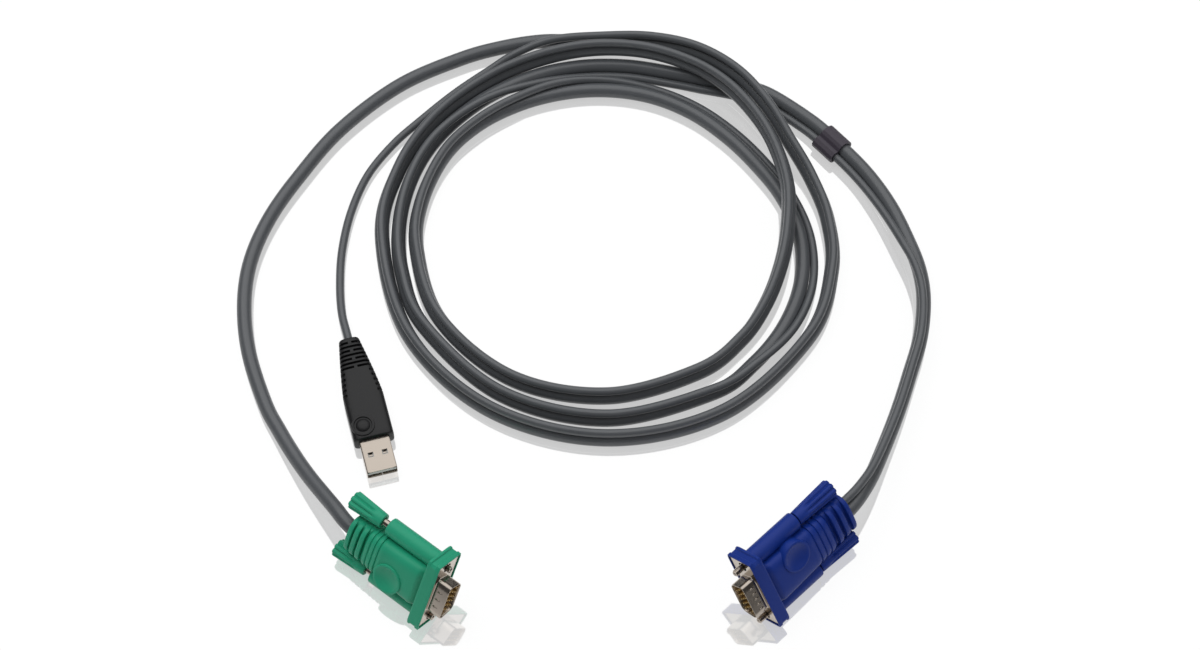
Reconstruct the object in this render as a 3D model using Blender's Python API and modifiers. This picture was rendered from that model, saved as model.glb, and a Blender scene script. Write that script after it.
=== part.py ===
# KVM cable: two 15-way video plugs, a USB plug and a joined twin lead laid in a loose coil.
# Lengths are in metres, +Z is up and the cable lies on the plane z = 0.

import math

import bmesh
import bpy
from mathutils import Matrix, Vector

MM = 0.001
CLEAR = 0.3 * MM          # gap between neighbouring pieces

# Leads
VIDEO_LEAD_D = 6.0 * MM
USB_LEAD_D = 3.4 * MM
LEAD_SPACING = VIDEO_LEAD_D / 2 + USB_LEAD_D / 2 + CLEAR
LEAD_SIDES = 8
VIDEO_TAIL_COUNT = 20
USB_TAIL_COUNT = 13
TWIN_TAIL_COUNT = 23
STUB = 2.5 * MM           # straight run of a lead out of its plug

# Coil
COIL_CENTRE = Vector((2.8, 38.9, 0)) * MM
COIL_INNER_R = 69.0 * MM
COIL_OUTER_R = 94.2 * MM
COIL_HEIGHT = VIDEO_LEAD_D + USB_LEAD_D + CLEAR
COIL_EDGE = 2.0 * MM

# Video plug contacts, to the usual pattern of a 15-way plug in three rows
PIN_PITCH = 2.29 * MM
PIN_ROW_PITCH = 1.98 * MM
PIN_ROWS = 3
PINS_IN_ROW = 5
PIN_D = 0.76 * MM
PIN_REACH = 5.0 * MM
PIN_ROOT = 3.3 * MM
PIN_SIDES = 6

# Video plug metal front
SHELL_W = 16.9 * MM
SHELL_H = 8.4 * MM
SHELL_SLOPE = math.radians(10)
SHELL_CORNER_R = 2.3 * MM
SHELL_WALL = 0.45 * MM
SHELL_REACH = 6.0 * MM
SCREW_SPACING = 25.0 * MM
PLATE_MARGIN = 2.9 * MM     # from a screw's axis to the end of the plate
PLATE_W = SCREW_SPACING + 2 * PLATE_MARGIN
PLATE_H = 12.5 * MM
PLATE_T = 0.8 * MM
PLATE_CORNER_R = 1.0 * MM
PLATE_SET_BACK = 0.4 * MM

# Insulator behind the plate
BOSS_PROUD = 0.6 * MM
BLOCK_W = 17.4 * MM
BLOCK_H = 9.2 * MM
BLOCK_DEPTH = 3.0 * MM

# Video plug hood
RIM = 0.7 * MM
FLANGE_DEPTH = 5.4 * MM
FLANGE_CORNER_R = 1.3 * MM
FLANGE_GROOVE = 0.5 * MM
FLANGE_LIP = 1.6 * MM
BODY_GAP = 2.9 * MM         # from the body's side to a screw's axis
BODY_HALF_W = SCREW_SPACING / 2 - BODY_GAP
BODY_HALF_H = 6.7 * MM
BODY_END_HALF_H = 5.8 * MM
BODY_SHOULDER = 3.0 * MM
BODY_WAIST = 1.3 * MM
CHANNEL_R = 3.7 * MM
CHANNEL_END = 28.0 * MM
RIB_COUNT = 4
RIB_DROP = 0.4 * MM
SLOT_COUNT = 3
SLOT_CORE = VIDEO_LEAD_D / 2 + 0.9 * MM
SLOT_SPINE = 1.1 * MM
MEDAL_R = 6.3 * MM
MEDAL_RING_W = 1.1 * MM
MEDAL_PROUD = 0.8 * MM
MEDAL_DISH = 0.75 * MM
MEDAL_X = 4.3 * MM
MEDAL_Z = 19.0 * MM

# The two hoods are separate mouldings: the blue one takes both leads, so it is longer and its
# slots are wider, and its screws are pushed in.
GREEN_HOOD_LENGTH = 41.5 * MM
GREEN_BODY_TAPER = 1.7 * MM
GREEN_SLOT_W = 0.9 * MM
GREEN_RING_W = 2.0 * MM
GREEN_RIB_PITCH = 2.1 * MM
GREEN_SCREW_OUT = 3.0 * MM
GREEN_GRIP_LENGTH = 15.0 * MM
BLUE_HOOD_LENGTH = 48.6 * MM
BLUE_BODY_TAPER = 1.3 * MM
BLUE_SLOT_W = 1.8 * MM
BLUE_RING_W = 2.0 * MM
BLUE_RIB_PITCH = 2.7 * MM
BLUE_SCREW_OUT = 0.6 * MM
BLUE_GRIP_LENGTH = 19.0 * MM

# Thumbscrews
THREAD_D = 2.8 * MM
SHANK_D = 3.0 * MM
NECK_D = 2.1 * MM
SCREW_LENGTH = 44.0 * MM
THREAD_LENGTH = 6.0 * MM
NECK_LENGTH = 3.0 * MM
SCREW_PLAY = 0.45 * MM
GRIP_FRONT_R = 3.0 * MM
GRIP_BACK_R = 3.8 * MM
GRIP_LOBES = 8
GRIP_FLUTE = 0.4 * MM
GRIP_COLLAR = 2.2 * MM
GRIP_SOCKET = 11.0 * MM

# USB plug
USB_SHELL_W = 12.0 * MM
USB_SHELL_H = 4.5 * MM
USB_SHELL_WALL = 0.3 * MM
USB_SHELL_REACH = 14.2 * MM
USB_SHELL_ROOT = 6.0 * MM
USB_SHELL_CORNER_R = 0.5 * MM
USB_WINDOW = 2.2 * MM
USB_WINDOW_SPACING = 5.6 * MM
USB_WINDOW_BACK = 6.6 * MM
TONGUE_T = 1.8 * MM
TONGUE_SET_BACK = 0.8 * MM
CONTACT_W = 1.1 * MM
CONTACT_T = 0.3 * MM
CONTACT_LENGTH = 8.5 * MM
CONTACT_X = (-3.5 * MM, -1.0 * MM, 1.0 * MM, 3.5 * MM)
USB_BODY_LENGTH = 46.0 * MM
USB_HALF_W = 8.0 * MM
USB_HALF_H = 4.3 * MM
USB_END_HALF_W = 4.0 * MM
USB_END_HALF_H = 3.1 * MM
USB_STRAIGHT = 19.0 * MM
USB_SLOT_START = 31.6 * MM
USB_SLOT_ROWS = 7
USB_SLOT_PITCH = 1.9 * MM
USB_SLOT_W = 0.85 * MM
USB_SLOT_CORE = USB_LEAD_D / 2 + 0.4 * MM
USB_SLOT_BRIDGE = 1.3 * MM
USB_NOTCHES = 5
USB_NOTCH_PITCH = 2.2 * MM
USB_NOTCH_W = 0.9 * MM
USB_NOTCH_START = 17.5 * MM
USB_NOTCH_DEPTH = 0.7 * MM
USB_MEDAL_R = 4.6 * MM
USB_MEDAL_RING_W = 1.0 * MM
USB_MEDAL_X = 3.0 * MM
USB_MEDAL_Z = 5.6 * MM

# Cable clip on the twin lead
CLIP_LENGTH = 11.0 * MM
CLIP_WALL = 0.9 * MM
CLIP_PLAY = 0.3 * MM
CLIP_SEGMENT_COUNT = 20   # the straight piece of the twin tail that the clip sits on

# Where the three plugs lie: flange or base centre, mating direction, lean of the broad face
GREEN_XY = (-60.0 * MM, -123.6 * MM)
GREEN_HEADING = math.radians(-38)
GREEN_LEAN = math.radians(29)
BLUE_XY = (57.4 * MM, -123.2 * MM)
BLUE_HEADING = math.radians(-136)
BLUE_LEAN = math.radians(33.5)
USB_XY = (-87.8 * MM, -54.0 * MM)
USB_HEADING = math.radians(-75)

# Middle of the plugs' and clip's outline, which is the part's own origin
ORIGIN = Vector((0.19, -21.81, 0.0)) * MM

# Routes of the leads, chosen by hand, in millimetres. The twin's fourth number is its roll in
# degrees: 0 puts the thin lead above the thick one, 90 beside it on the coil's side.
TWIN_ROUTE = [(103, -73.5, 12.6, 45), (110.5, -57, 9.4, 75), (116.5, -42, 7.6, 105), (121.8, -26, 6.9, 130),
              (127, -9, 6.7, 150), (129.3, 8, 6.6, 155), (128.4, 22, 6.4, 148), (124.6, 36, 6, 135),
              (118, 53.5, 5, 115), (108.8, 69.5, 4.5, 95), (97.4, 83.7, 4.4, 95), (87.4, 95, 3.6, 100)]
VIDEO_ROUTE = [(-104.8, -81.6, 13.6), (-115.6, -67, 8.3), (-125, -49.6, 4.4), (-131.5, -37, 3.3), (-139.3, -14, 3.1), (-142.4, 8, 3.1),
               (-141, 28, 3.1), (-134.5, 48, 3.1), (-123.5, 68, 3.1), (-107.5, 91, 3.1), (-84, 112.5, 3.1),
               (-59, 125.5, 3.1), (-33.5, 133, 3.1), (-8, 135.9, 3.1)]
USB_ROUTE = [(-103.2, 4.5, 2.8), (-104.7, 20, 1.9), (-104.8, 34, 1.8), (-102.8, 49, 1.8),
             (-97.6, 65.5, 1.8), (-89.8, 79.5, 1.8), (-76.3, 93.8, 1.8)]

TURN_STEPS = 20
COIL_STEPS = 48
ROUND_STEPS = 12
BODY_POINTS = 24


def material(name, colour, roughness, metallic=0.0):
    mat = bpy.data.materials.new(name)
    mat.use_nodes = True
    shader = mat.node_tree.nodes["Principled BSDF"]
    shader.inputs["Base Color"].default_value = (*colour, 1)
    shader.inputs["Roughness"].default_value = roughness
    shader.inputs["Metallic"].default_value = metallic
    mat.diffuse_color = (*colour, 1)
    return mat


class Assembly:
    # Adds pieces under one empty: shown parts go in one collection, cutters in another.

    def __init__(self, parts, cutters, parent, matrix):
        self.parts = parts
        self.cutters = cutters
        self.empty = bpy.data.objects.new("seat", None)
        parts.objects.link(self.empty)
        self.empty.parent = parent
        self.empty.matrix_local = matrix

    def add(self, name, mesh, mat=None, at=(0, 0, 0), turn=None):
        mesh.name = name
        obj = bpy.data.objects.new(name, mesh)
        obj.parent = self.empty
        spin = turn.to_4x4() if turn else Matrix.Identity(4)
        obj.matrix_local = Matrix.Translation(at) @ spin
        if mat is None:
            self.cutters.objects.link(obj)
            obj.hide_render = True
            obj.display_type = "WIRE"
        else:
            self.parts.objects.link(obj)
            mesh.materials.append(mat)
            mesh.shade_smooth()
            mesh.set_sharp_from_angle(angle=math.radians(35))
        return obj


def boolean(obj, other, operation):
    mod = obj.modifiers.new(operation.lower(), "BOOLEAN")
    mod.operation = operation
    mod.solver = "EXACT"
    mod.object = other


def mesh_from(bm):
    mesh = bpy.data.meshes.new("mesh")
    bm.to_mesh(mesh)
    bm.free()
    return mesh


def loft(sections):
    # Skins a row of closed outlines that all have the same number of points.
    bm = bmesh.new()
    rings = [[bm.verts.new(point) for point in section] for section in sections]
    count = len(rings[0])
    for near, far in zip(rings, rings[1:]):
        for i in range(count):
            j = (i + 1) % count
            bm.faces.new((near[i], near[j], far[j], far[i]))
    bmesh.ops.triangulate(bm, faces=bm.faces)
    bm.faces.new(reversed(rings[0]))
    bm.faces.new(rings[-1])
    bmesh.ops.recalc_face_normals(bm, faces=bm.faces)
    return mesh_from(bm)


def cylinder(radius, z_from, z_to, sides=ROUND_STEPS):
    bm = bmesh.new()
    middle = Matrix.Translation((0, 0, (z_from + z_to) / 2))
    bmesh.ops.create_cone(bm, cap_ends=True, segments=sides, radius1=radius, radius2=radius,
                          depth=z_to - z_from, matrix=middle)
    return mesh_from(bm)


def boxes(spans):
    # Each span is ((x from, x to), (y from, y to), (z from, z to)).
    bm = bmesh.new()
    for span in spans:
        centre = Vector([(low + high) / 2 for low, high in span])
        size = Vector([high - low for low, high in span])
        matrix = Matrix.Translation(centre) @ Matrix.Diagonal((*size, 1))
        bmesh.ops.create_cube(bm, size=1, matrix=matrix)
    return mesh_from(bm)


def turned(obj, steps):
    # Turns an object's open profile round its own Z axis.
    screw = obj.modifiers.new("turn", "SCREW")
    screw.axis = "Z"
    screw.angle = math.tau
    screw.steps = steps
    screw.render_steps = steps
    screw.use_merge_vertices = True
    screw.merge_threshold = 0.00001
    return obj


def profile(points, closed=False):
    # A profile of (radius, height) points, listed from the top down the outer side.
    bm = bmesh.new()
    verts = [bm.verts.new((radius, 0, height)) for radius, height in points]
    for upper, lower in zip(verts, verts[1:]):
        bm.edges.new((upper, lower))
    if closed:
        bm.edges.new((verts[-1], verts[0]))
    return mesh_from(bm)


def arc(centre, radius, start, end, steps):
    return [(centre[0] + radius * math.cos(start + (end - start) * i / steps),
             centre[1] + radius * math.sin(start + (end - start) * i / steps)) for i in range(steps + 1)]


def rounded_rectangle(width, height, radius, steps=2):
    points = []
    for quarter, (sx, sy) in enumerate(((1, 1), (-1, 1), (-1, -1), (1, -1))):
        centre = (sx * (width / 2 - radius), sy * (height / 2 - radius))
        points += arc(centre, radius, quarter * math.pi / 2, (quarter + 1) * math.pi / 2, steps)
    return points


def d_outline(grow=0.0, steps=3):
    # The plug's D shape, wide along +Y, with its wall line moved out by grow.
    half_h = SHELL_H / 2 + grow
    half_w = SHELL_W / 2 + grow / math.cos(SHELL_SLOPE) + grow * math.tan(SHELL_SLOPE)
    narrow = half_w - 2 * half_h * math.tan(SHELL_SLOPE)
    radius = SHELL_CORNER_R + grow
    wide_tangent = radius * math.tan((math.pi / 2 + SHELL_SLOPE) / 2)
    slim_tangent = radius * math.tan((math.pi / 2 - SHELL_SLOPE) / 2)
    points = arc((half_w - wide_tangent, half_h - radius), radius, -SHELL_SLOPE, math.pi / 2, steps)
    points += [(-x, y) for x, y in reversed(points)]
    lower = arc((-narrow + slim_tangent, -half_h + radius), radius, math.pi + SHELL_SLOPE,
                1.5 * math.pi, steps)
    return points + lower + [(-x, y) for x, y in reversed(lower)]


def plate(outlines, z_from, z_to):
    # A flat sheet whose first outline is its edge and whose others are its holes.
    curve = bpy.data.curves.new("outline", "CURVE")
    curve.dimensions = "2D"
    curve.fill_mode = "BOTH"
    curve.extrude = (z_to - z_from) / 2
    for outline in outlines:
        spline = curve.splines.new("POLY")
        spline.points.add(len(outline) - 1)
        for point, (x, y) in zip(spline.points, outline):
            point.co = (x, y, 0, 1)
        spline.use_cyclic_u = True
    return curve_mesh(curve, Matrix.Translation((0, 0, (z_from + z_to) / 2)))


def curve_mesh(curve, matrix=Matrix.Identity(4)):
    holder = bpy.data.objects.new("outline", curve)
    bpy.context.scene.collection.objects.link(holder)
    evaluated = holder.evaluated_get(bpy.context.evaluated_depsgraph_get())
    mesh = bpy.data.meshes.new_from_object(evaluated)
    bpy.data.objects.remove(holder)
    bm = bmesh.new()
    bm.from_mesh(mesh)
    bmesh.ops.remove_doubles(bm, verts=bm.verts, dist=0.000001)
    bmesh.ops.recalc_face_normals(bm, faces=bm.faces)
    bm.transform(matrix)
    bm.to_mesh(mesh)
    bm.free()
    return mesh


def oval(half_w, half_h, power, z, count=BODY_POINTS):
    # A superellipse outline: power 2 is an ellipse, a higher power is nearer a rectangle.
    points = []
    for i in range(count):
        angle = math.tau * (i + 0.5) / count
        cos, sin = math.cos(angle), math.sin(angle)
        x = half_w * math.copysign(abs(cos) ** (2 / power), cos)
        y = half_h * math.copysign(abs(sin) ** (2 / power), sin)
        points.append((x, y, z))
    return points


def blend(start, end, share):
    return start + (end - start) * min(max(share, 0), 1)


# Video plug

FLANGE_W = PLATE_W + 2 * (CLEAR + RIM)
FLANGE_H = PLATE_H + 2 * (CLEAR + RIM)
PLATE_BACK = PLATE_SET_BACK + PLATE_T
BLOCK_FRONT = PLATE_BACK + CLEAR
BLOCK_BACK = BLOCK_FRONT + BLOCK_DEPTH
BOSS_FACE = PLATE_SET_BACK - BOSS_PROUD
BORE_R = SHANK_D / 2 + SCREW_PLAY


class Moulding:
    # The sizes in which the two hoods and their thumbscrews differ.
    def __init__(self, length, taper, slot_w, ring_w, rib_pitch, screw_out, grip_length):
        self.length = length
        self.end_half_w = BODY_HALF_W - taper
        self.slot_w = slot_w
        self.ring_w = ring_w
        self.rib_pitch = rib_pitch
        self.rib_start = length - SLOT_COUNT * (slot_w + ring_w) - RIB_COUNT * rib_pitch
        self.grip_front = CHANNEL_END + screw_out
        self.grip_length = grip_length


MOULDINGS = {
    "green": Moulding(GREEN_HOOD_LENGTH, GREEN_BODY_TAPER, GREEN_SLOT_W, GREEN_RING_W, GREEN_RIB_PITCH,
                      GREEN_SCREW_OUT, GREEN_GRIP_LENGTH),
    "blue": Moulding(BLUE_HOOD_LENGTH, BLUE_BODY_TAPER, BLUE_SLOT_W, BLUE_RING_W, BLUE_RIB_PITCH,
                     BLUE_SCREW_OUT, BLUE_GRIP_LENGTH),
}


def body_size(hood, z):
    share = (z - FLANGE_DEPTH - BODY_SHOULDER) / (hood.length - FLANGE_DEPTH - BODY_SHOULDER)
    half_w = blend(BODY_HALF_W, hood.end_half_w, share)
    half_h = blend(BODY_HALF_H, BODY_END_HALF_H, share ** 2 if share > 0 else 0)
    return half_w, half_h


def hood_body(hood):
    def section(z, in_x=0.0, in_y=0.0):
        half_w, half_h = body_size(hood, z)
        power = blend(3.4, 2.5, z / hood.length)
        return oval(half_w - in_x, half_h - in_y, power, z)

    sections = [section(FLANGE_DEPTH - 1.2 * MM, 0, BODY_WAIST), section(FLANGE_DEPTH, 0, BODY_WAIST),
                section(FLANGE_DEPTH + BODY_SHOULDER), section(MEDAL_Z)]
    for rib in range(RIB_COUNT):
        start = hood.rib_start + rib * hood.rib_pitch
        sections.append(section(start))
        sections.append(section(start + hood.rib_pitch * 0.9, RIB_DROP, RIB_DROP))
    sections.append(section(hood.rib_start + RIB_COUNT * hood.rib_pitch))
    sections.append(section(hood.length - 0.5 * MM))
    sections.append(section(hood.length, 0.5 * MM, 0.5 * MM))
    return loft(sections)


def hood_flange():
    back = FLANGE_DEPTH
    steps = [(0, 0, 0), (FLANGE_LIP, 0, 0), (FLANGE_LIP + FLANGE_GROOVE, FLANGE_GROOVE, 0),
             (back - 2.4 * FLANGE_GROOVE, FLANGE_GROOVE, 0), (back - 1.6 * FLANGE_GROOVE, 0, 0),
             (back - 0.8 * FLANGE_GROOVE, 0, 0), (back, 0.8 * FLANGE_GROOVE, 0.8 * FLANGE_GROOVE)]
    sections = []
    for z, in_x, in_y in steps:
        outline = rounded_rectangle(FLANGE_W - 2 * in_x, FLANGE_H - 2 * in_y, FLANGE_CORNER_R)
        sections.append([(x, y, z) for x, y in outline])
    return loft(sections)


def medal_profile(radius, ring_w, base, top):
    floor = top - MEDAL_DISH
    inner = radius - ring_w
    dome_r = inner - 0.3 * MM
    edge = 0.25 * MM
    return [(0, top - 0.15 * MM), (dome_r * 0.5, top - 0.25 * MM), (dome_r * 0.85, top - 0.5 * MM),
            (dome_r, floor), (inner, floor), (inner + edge, top), (radius - edge, top),
            (radius, top - edge), (radius, base), (0, base)]


def slot_spans(hood):
    spans = []
    for slot in range(SLOT_COUNT):
        z_to = hood.length - hood.ring_w - slot * (hood.slot_w + hood.ring_w)
        half_w = body_size(hood, z_to)[0] - SLOT_SPINE
        for low, high in ((SLOT_CORE, 2 * BODY_HALF_H), (-2 * BODY_HALF_H, -SLOT_CORE)):
            spans.append(((-half_w, half_w), (low, high), (z_to - hood.slot_w, z_to)))
    return spans


def build_hood(seat, colour, mat):
    moulding = MOULDINGS[colour]
    hood = seat.add(colour + "_hood", hood_body(moulding), mat)
    boolean(hood, seat.add(colour + "_flange_block", hood_flange()), "UNION")
    for side in (-1, 1):
        at = (side * SCREW_SPACING / 2, 0, 0)
        channel = seat.add(colour + "_channel", cylinder(CHANNEL_R, FLANGE_DEPTH - 1.1 * MM, CHANNEL_END,
                                                         TURN_STEPS), at=at)
        edge = channel.modifiers.new("edge", "BEVEL")
        edge.width = 0.5 * MM
        edge.segments = 2
        edge.limit_method = "ANGLE"
        boolean(hood, channel, "UNION")
    upright = Matrix.Rotation(-math.pi / 2, 3, "X")
    top = BODY_HALF_H + MEDAL_PROUD
    medal = seat.add(colour + "_medal", profile(medal_profile(MEDAL_R, MEDAL_RING_W, 2 * MM, top)),
                     at=(MEDAL_X, 0, MEDAL_Z), turn=upright)
    boolean(hood, turned(medal, TURN_STEPS), "UNION")

    recess_w = PLATE_W + 2 * CLEAR
    recess_h = PLATE_H + 2 * CLEAR
    recess = plate([rounded_rectangle(recess_w, recess_h, PLATE_CORNER_R + CLEAR)], -MM, BLOCK_FRONT)
    boolean(hood, seat.add(colour + "_recess", recess), "DIFFERENCE")
    half_w = BLOCK_W / 2 + CLEAR
    half_h = BLOCK_H / 2 + CLEAR
    pocket = boxes([((-half_w, half_w), (-half_h, half_h), (0, BLOCK_BACK + CLEAR))])
    boolean(hood, seat.add(colour + "_pocket", pocket), "DIFFERENCE")
    for side in (-1, 1):
        bore = cylinder(BORE_R, 0, CHANNEL_END + MM)
        at = (side * SCREW_SPACING / 2, 0, 0)
        boolean(hood, seat.add(colour + "_bore", bore, at=at), "DIFFERENCE")
    boolean(hood, seat.add(colour + "_slots", boxes(slot_spans(moulding))), "DIFFERENCE")


def build_front_shell(seat, colour, mat):
    front = PLATE_SET_BACK - SHELL_REACH
    tube = plate([d_outline(SHELL_WALL), d_outline()], front, PLATE_BACK - 0.1 * MM)
    shell = seat.add(colour + "_front_shell", tube, mat)
    hole_r = THREAD_D / 2 + CLEAR
    holes = [arc((side * SCREW_SPACING / 2, 0), hole_r, 0, math.tau * (1 - 1 / ROUND_STEPS), ROUND_STEPS - 1)
             for side in (-1, 1)]
    sheet = plate([rounded_rectangle(PLATE_W, PLATE_H, PLATE_CORNER_R), d_outline(SHELL_WALL / 2)] + holes,
                  PLATE_SET_BACK, PLATE_BACK)
    boolean(shell, seat.add(colour + "_plate", sheet), "UNION")


def pin_places():
    places = []
    for row in range(PIN_ROWS):
        shift = PIN_PITCH / 4 * (-1 if row % 2 else 1)
        y = ((PIN_ROWS - 1) / 2 - row) * PIN_ROW_PITCH
        for column in range(PINS_IN_ROW):
            places.append(((column - (PINS_IN_ROW - 1) / 2) * PIN_PITCH + shift, y))
    return places


def build_insulator(seat, colour, mat):
    half_w = BLOCK_W / 2
    half_h = BLOCK_H / 2
    block = boxes([((-half_w, half_w), (-half_h, half_h), (BLOCK_FRONT, BLOCK_BACK))])
    insulator = seat.add(colour + "_insulator", block, mat)
    boss = plate([d_outline(-CLEAR)], BOSS_FACE, BLOCK_FRONT + MM)
    boolean(insulator, seat.add(colour + "_boss", boss), "UNION")
    bm = bmesh.new()
    depth = PIN_ROOT + CLEAR - BOSS_FACE + MM
    for x, y in pin_places():
        middle = Matrix.Translation((x, y, PIN_ROOT + CLEAR - depth / 2))
        bmesh.ops.create_cone(bm, cap_ends=True, segments=PIN_SIDES, radius1=PIN_D / 2 + CLEAR,
                              radius2=PIN_D / 2 + CLEAR, depth=depth, matrix=middle)
    boolean(insulator, seat.add(colour + "_pin_holes", mesh_from(bm)), "DIFFERENCE")


def build_pins(seat, colour, mat):
    tip = BOSS_FACE - PIN_REACH
    radius = PIN_D / 2
    points = [(0, PIN_ROOT), (radius, PIN_ROOT), (radius, tip + radius), (radius * 0.55, tip), (0, tip)]
    for number, (x, y) in enumerate(pin_places(), 1):
        pin = seat.add(f"{colour}_pin_{number:02d}", profile(points), mat, at=(x, y, 0))
        turned(pin, PIN_SIDES)


def screw_profile(moulding):
    end = moulding.grip_front + GRIP_SOCKET - CLEAR
    tip = end - SCREW_LENGTH
    thread_end = tip + THREAD_LENGTH
    neck_end = thread_end + NECK_LENGTH
    thread_r = THREAD_D / 2
    return [(0, end), (SHANK_D / 2, end), (SHANK_D / 2, neck_end), (NECK_D / 2, neck_end),
            (NECK_D / 2, thread_end), (thread_r, thread_end - 0.3 * MM), (thread_r, tip + 0.5 * MM),
            (thread_r - 0.4 * MM, tip), (0, tip)]


def grip_section(radius, flute, z):
    points = []
    count = GRIP_LOBES * 4
    for i in range(count):
        angle = math.tau * i / count
        dip = flute * (0.5 - 0.5 * math.cos(GRIP_LOBES * angle)) ** 2
        points.append(((radius - dip) * math.cos(angle), (radius - dip) * math.sin(angle), z))
    return points


def grip_mesh(moulding):
    front = moulding.grip_front
    back = front + moulding.grip_length
    steps = [(front, -0.3 * MM, 0), (front + 0.3 * MM, 0, 0), (front + GRIP_COLLAR, 0, 0),
             (front + 2 * GRIP_COLLAR, 0, GRIP_FLUTE * 0.8), (back - 0.7 * MM, 0, GRIP_FLUTE),
             (back, -0.5 * MM, GRIP_FLUTE)]
    sections = []
    for z, grow, flute in steps:
        radius = blend(GRIP_FRONT_R, GRIP_BACK_R, (z - front) / moulding.grip_length) + grow
        sections.append(grip_section(radius, flute, z))
    return loft(sections)


def build_thumbscrews(seat, colour, grip_mat, screw_mat):
    moulding = MOULDINGS[colour]
    front = moulding.grip_front
    for side, word in ((-1, "left"), (1, "right")):
        at = (side * SCREW_SPACING / 2, 0, 0)
        screw = seat.add(f"{colour}_screw_{word}", profile(screw_profile(moulding)), screw_mat, at=at)
        turned(screw, ROUND_STEPS)
        grip = seat.add(f"{colour}_grip_{word}", grip_mesh(moulding), grip_mat, at=at)
        socket = cylinder(SHANK_D / 2 + CLEAR, front - MM, front + GRIP_SOCKET)
        boolean(grip, seat.add(f"{colour}_socket", socket, at=at), "DIFFERENCE")


def build_video_plug(seat, colour, mats):
    build_hood(seat, colour, mats[colour])
    build_front_shell(seat, colour, mats["nickel"])
    build_insulator(seat, colour, mats["black"])
    build_pins(seat, colour, mats["gold"])
    build_thumbscrews(seat, colour, mats[colour], mats["nickel"])


# USB plug

def usb_size(z):
    share = (z - USB_STRAIGHT) / (USB_BODY_LENGTH - USB_STRAIGHT)
    ease = share ** 1.25 if share > 0 else 0
    return blend(USB_HALF_W, USB_END_HALF_W, ease), blend(USB_HALF_H, USB_END_HALF_H, ease)


def usb_body():
    def section(z, shrink=0.0):
        half_w, half_h = usb_size(z)
        return oval(half_w - shrink, half_h - shrink, blend(5, 3, z / USB_BODY_LENGTH), z)

    step = (USB_BODY_LENGTH - USB_STRAIGHT) / 5
    sections = [section(0, 0.6 * MM), section(0.8 * MM), section(USB_STRAIGHT)]
    sections += [section(USB_STRAIGHT + step * i) for i in range(1, 5)]
    sections += [section(USB_BODY_LENGTH - 1.2 * MM), section(USB_BODY_LENGTH, 1.0 * MM)]
    return loft(sections)


def usb_slot_cutters():
    # Rows alternate between two slots with a bridge and one groove all the way round.
    spans = []
    rings = []
    far = 2 * USB_HALF_W
    core = USB_SLOT_CORE
    for row in range(USB_SLOT_ROWS):
        z_from = USB_SLOT_START + row * USB_SLOT_PITCH
        z_span = (z_from, z_from + USB_SLOT_W)
        if row % 2:
            outlines = [rounded_rectangle(2 * far, 2 * far, MM, steps=1),
                        rounded_rectangle(3 * core, 2 * core, core / 2, steps=1)]
            rings.append(plate(outlines, *z_span))
        else:
            reach = usb_size(z_from)[0] - 0.7 * MM
            half = USB_SLOT_BRIDGE / 2
            for low, high in ((half, reach), (-reach, -half)):
                spans += [((low, high), (core, far), z_span), ((low, high), (-far, -core), z_span)]
    return [boxes(spans)] + rings


def usb_notch_spans():
    spans = []
    for notch in range(USB_NOTCHES):
        z_from = USB_NOTCH_START + notch * USB_NOTCH_PITCH
        inner = usb_size(z_from)[0] - USB_NOTCH_DEPTH
        z_span = (z_from, z_from + USB_NOTCH_W)
        height = (-2 * USB_HALF_H, 2 * USB_HALF_H)
        spans += [((inner, inner + USB_HALF_W), height, z_span),
                  ((-inner - USB_HALF_W, -inner), height, z_span)]
    return spans


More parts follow.
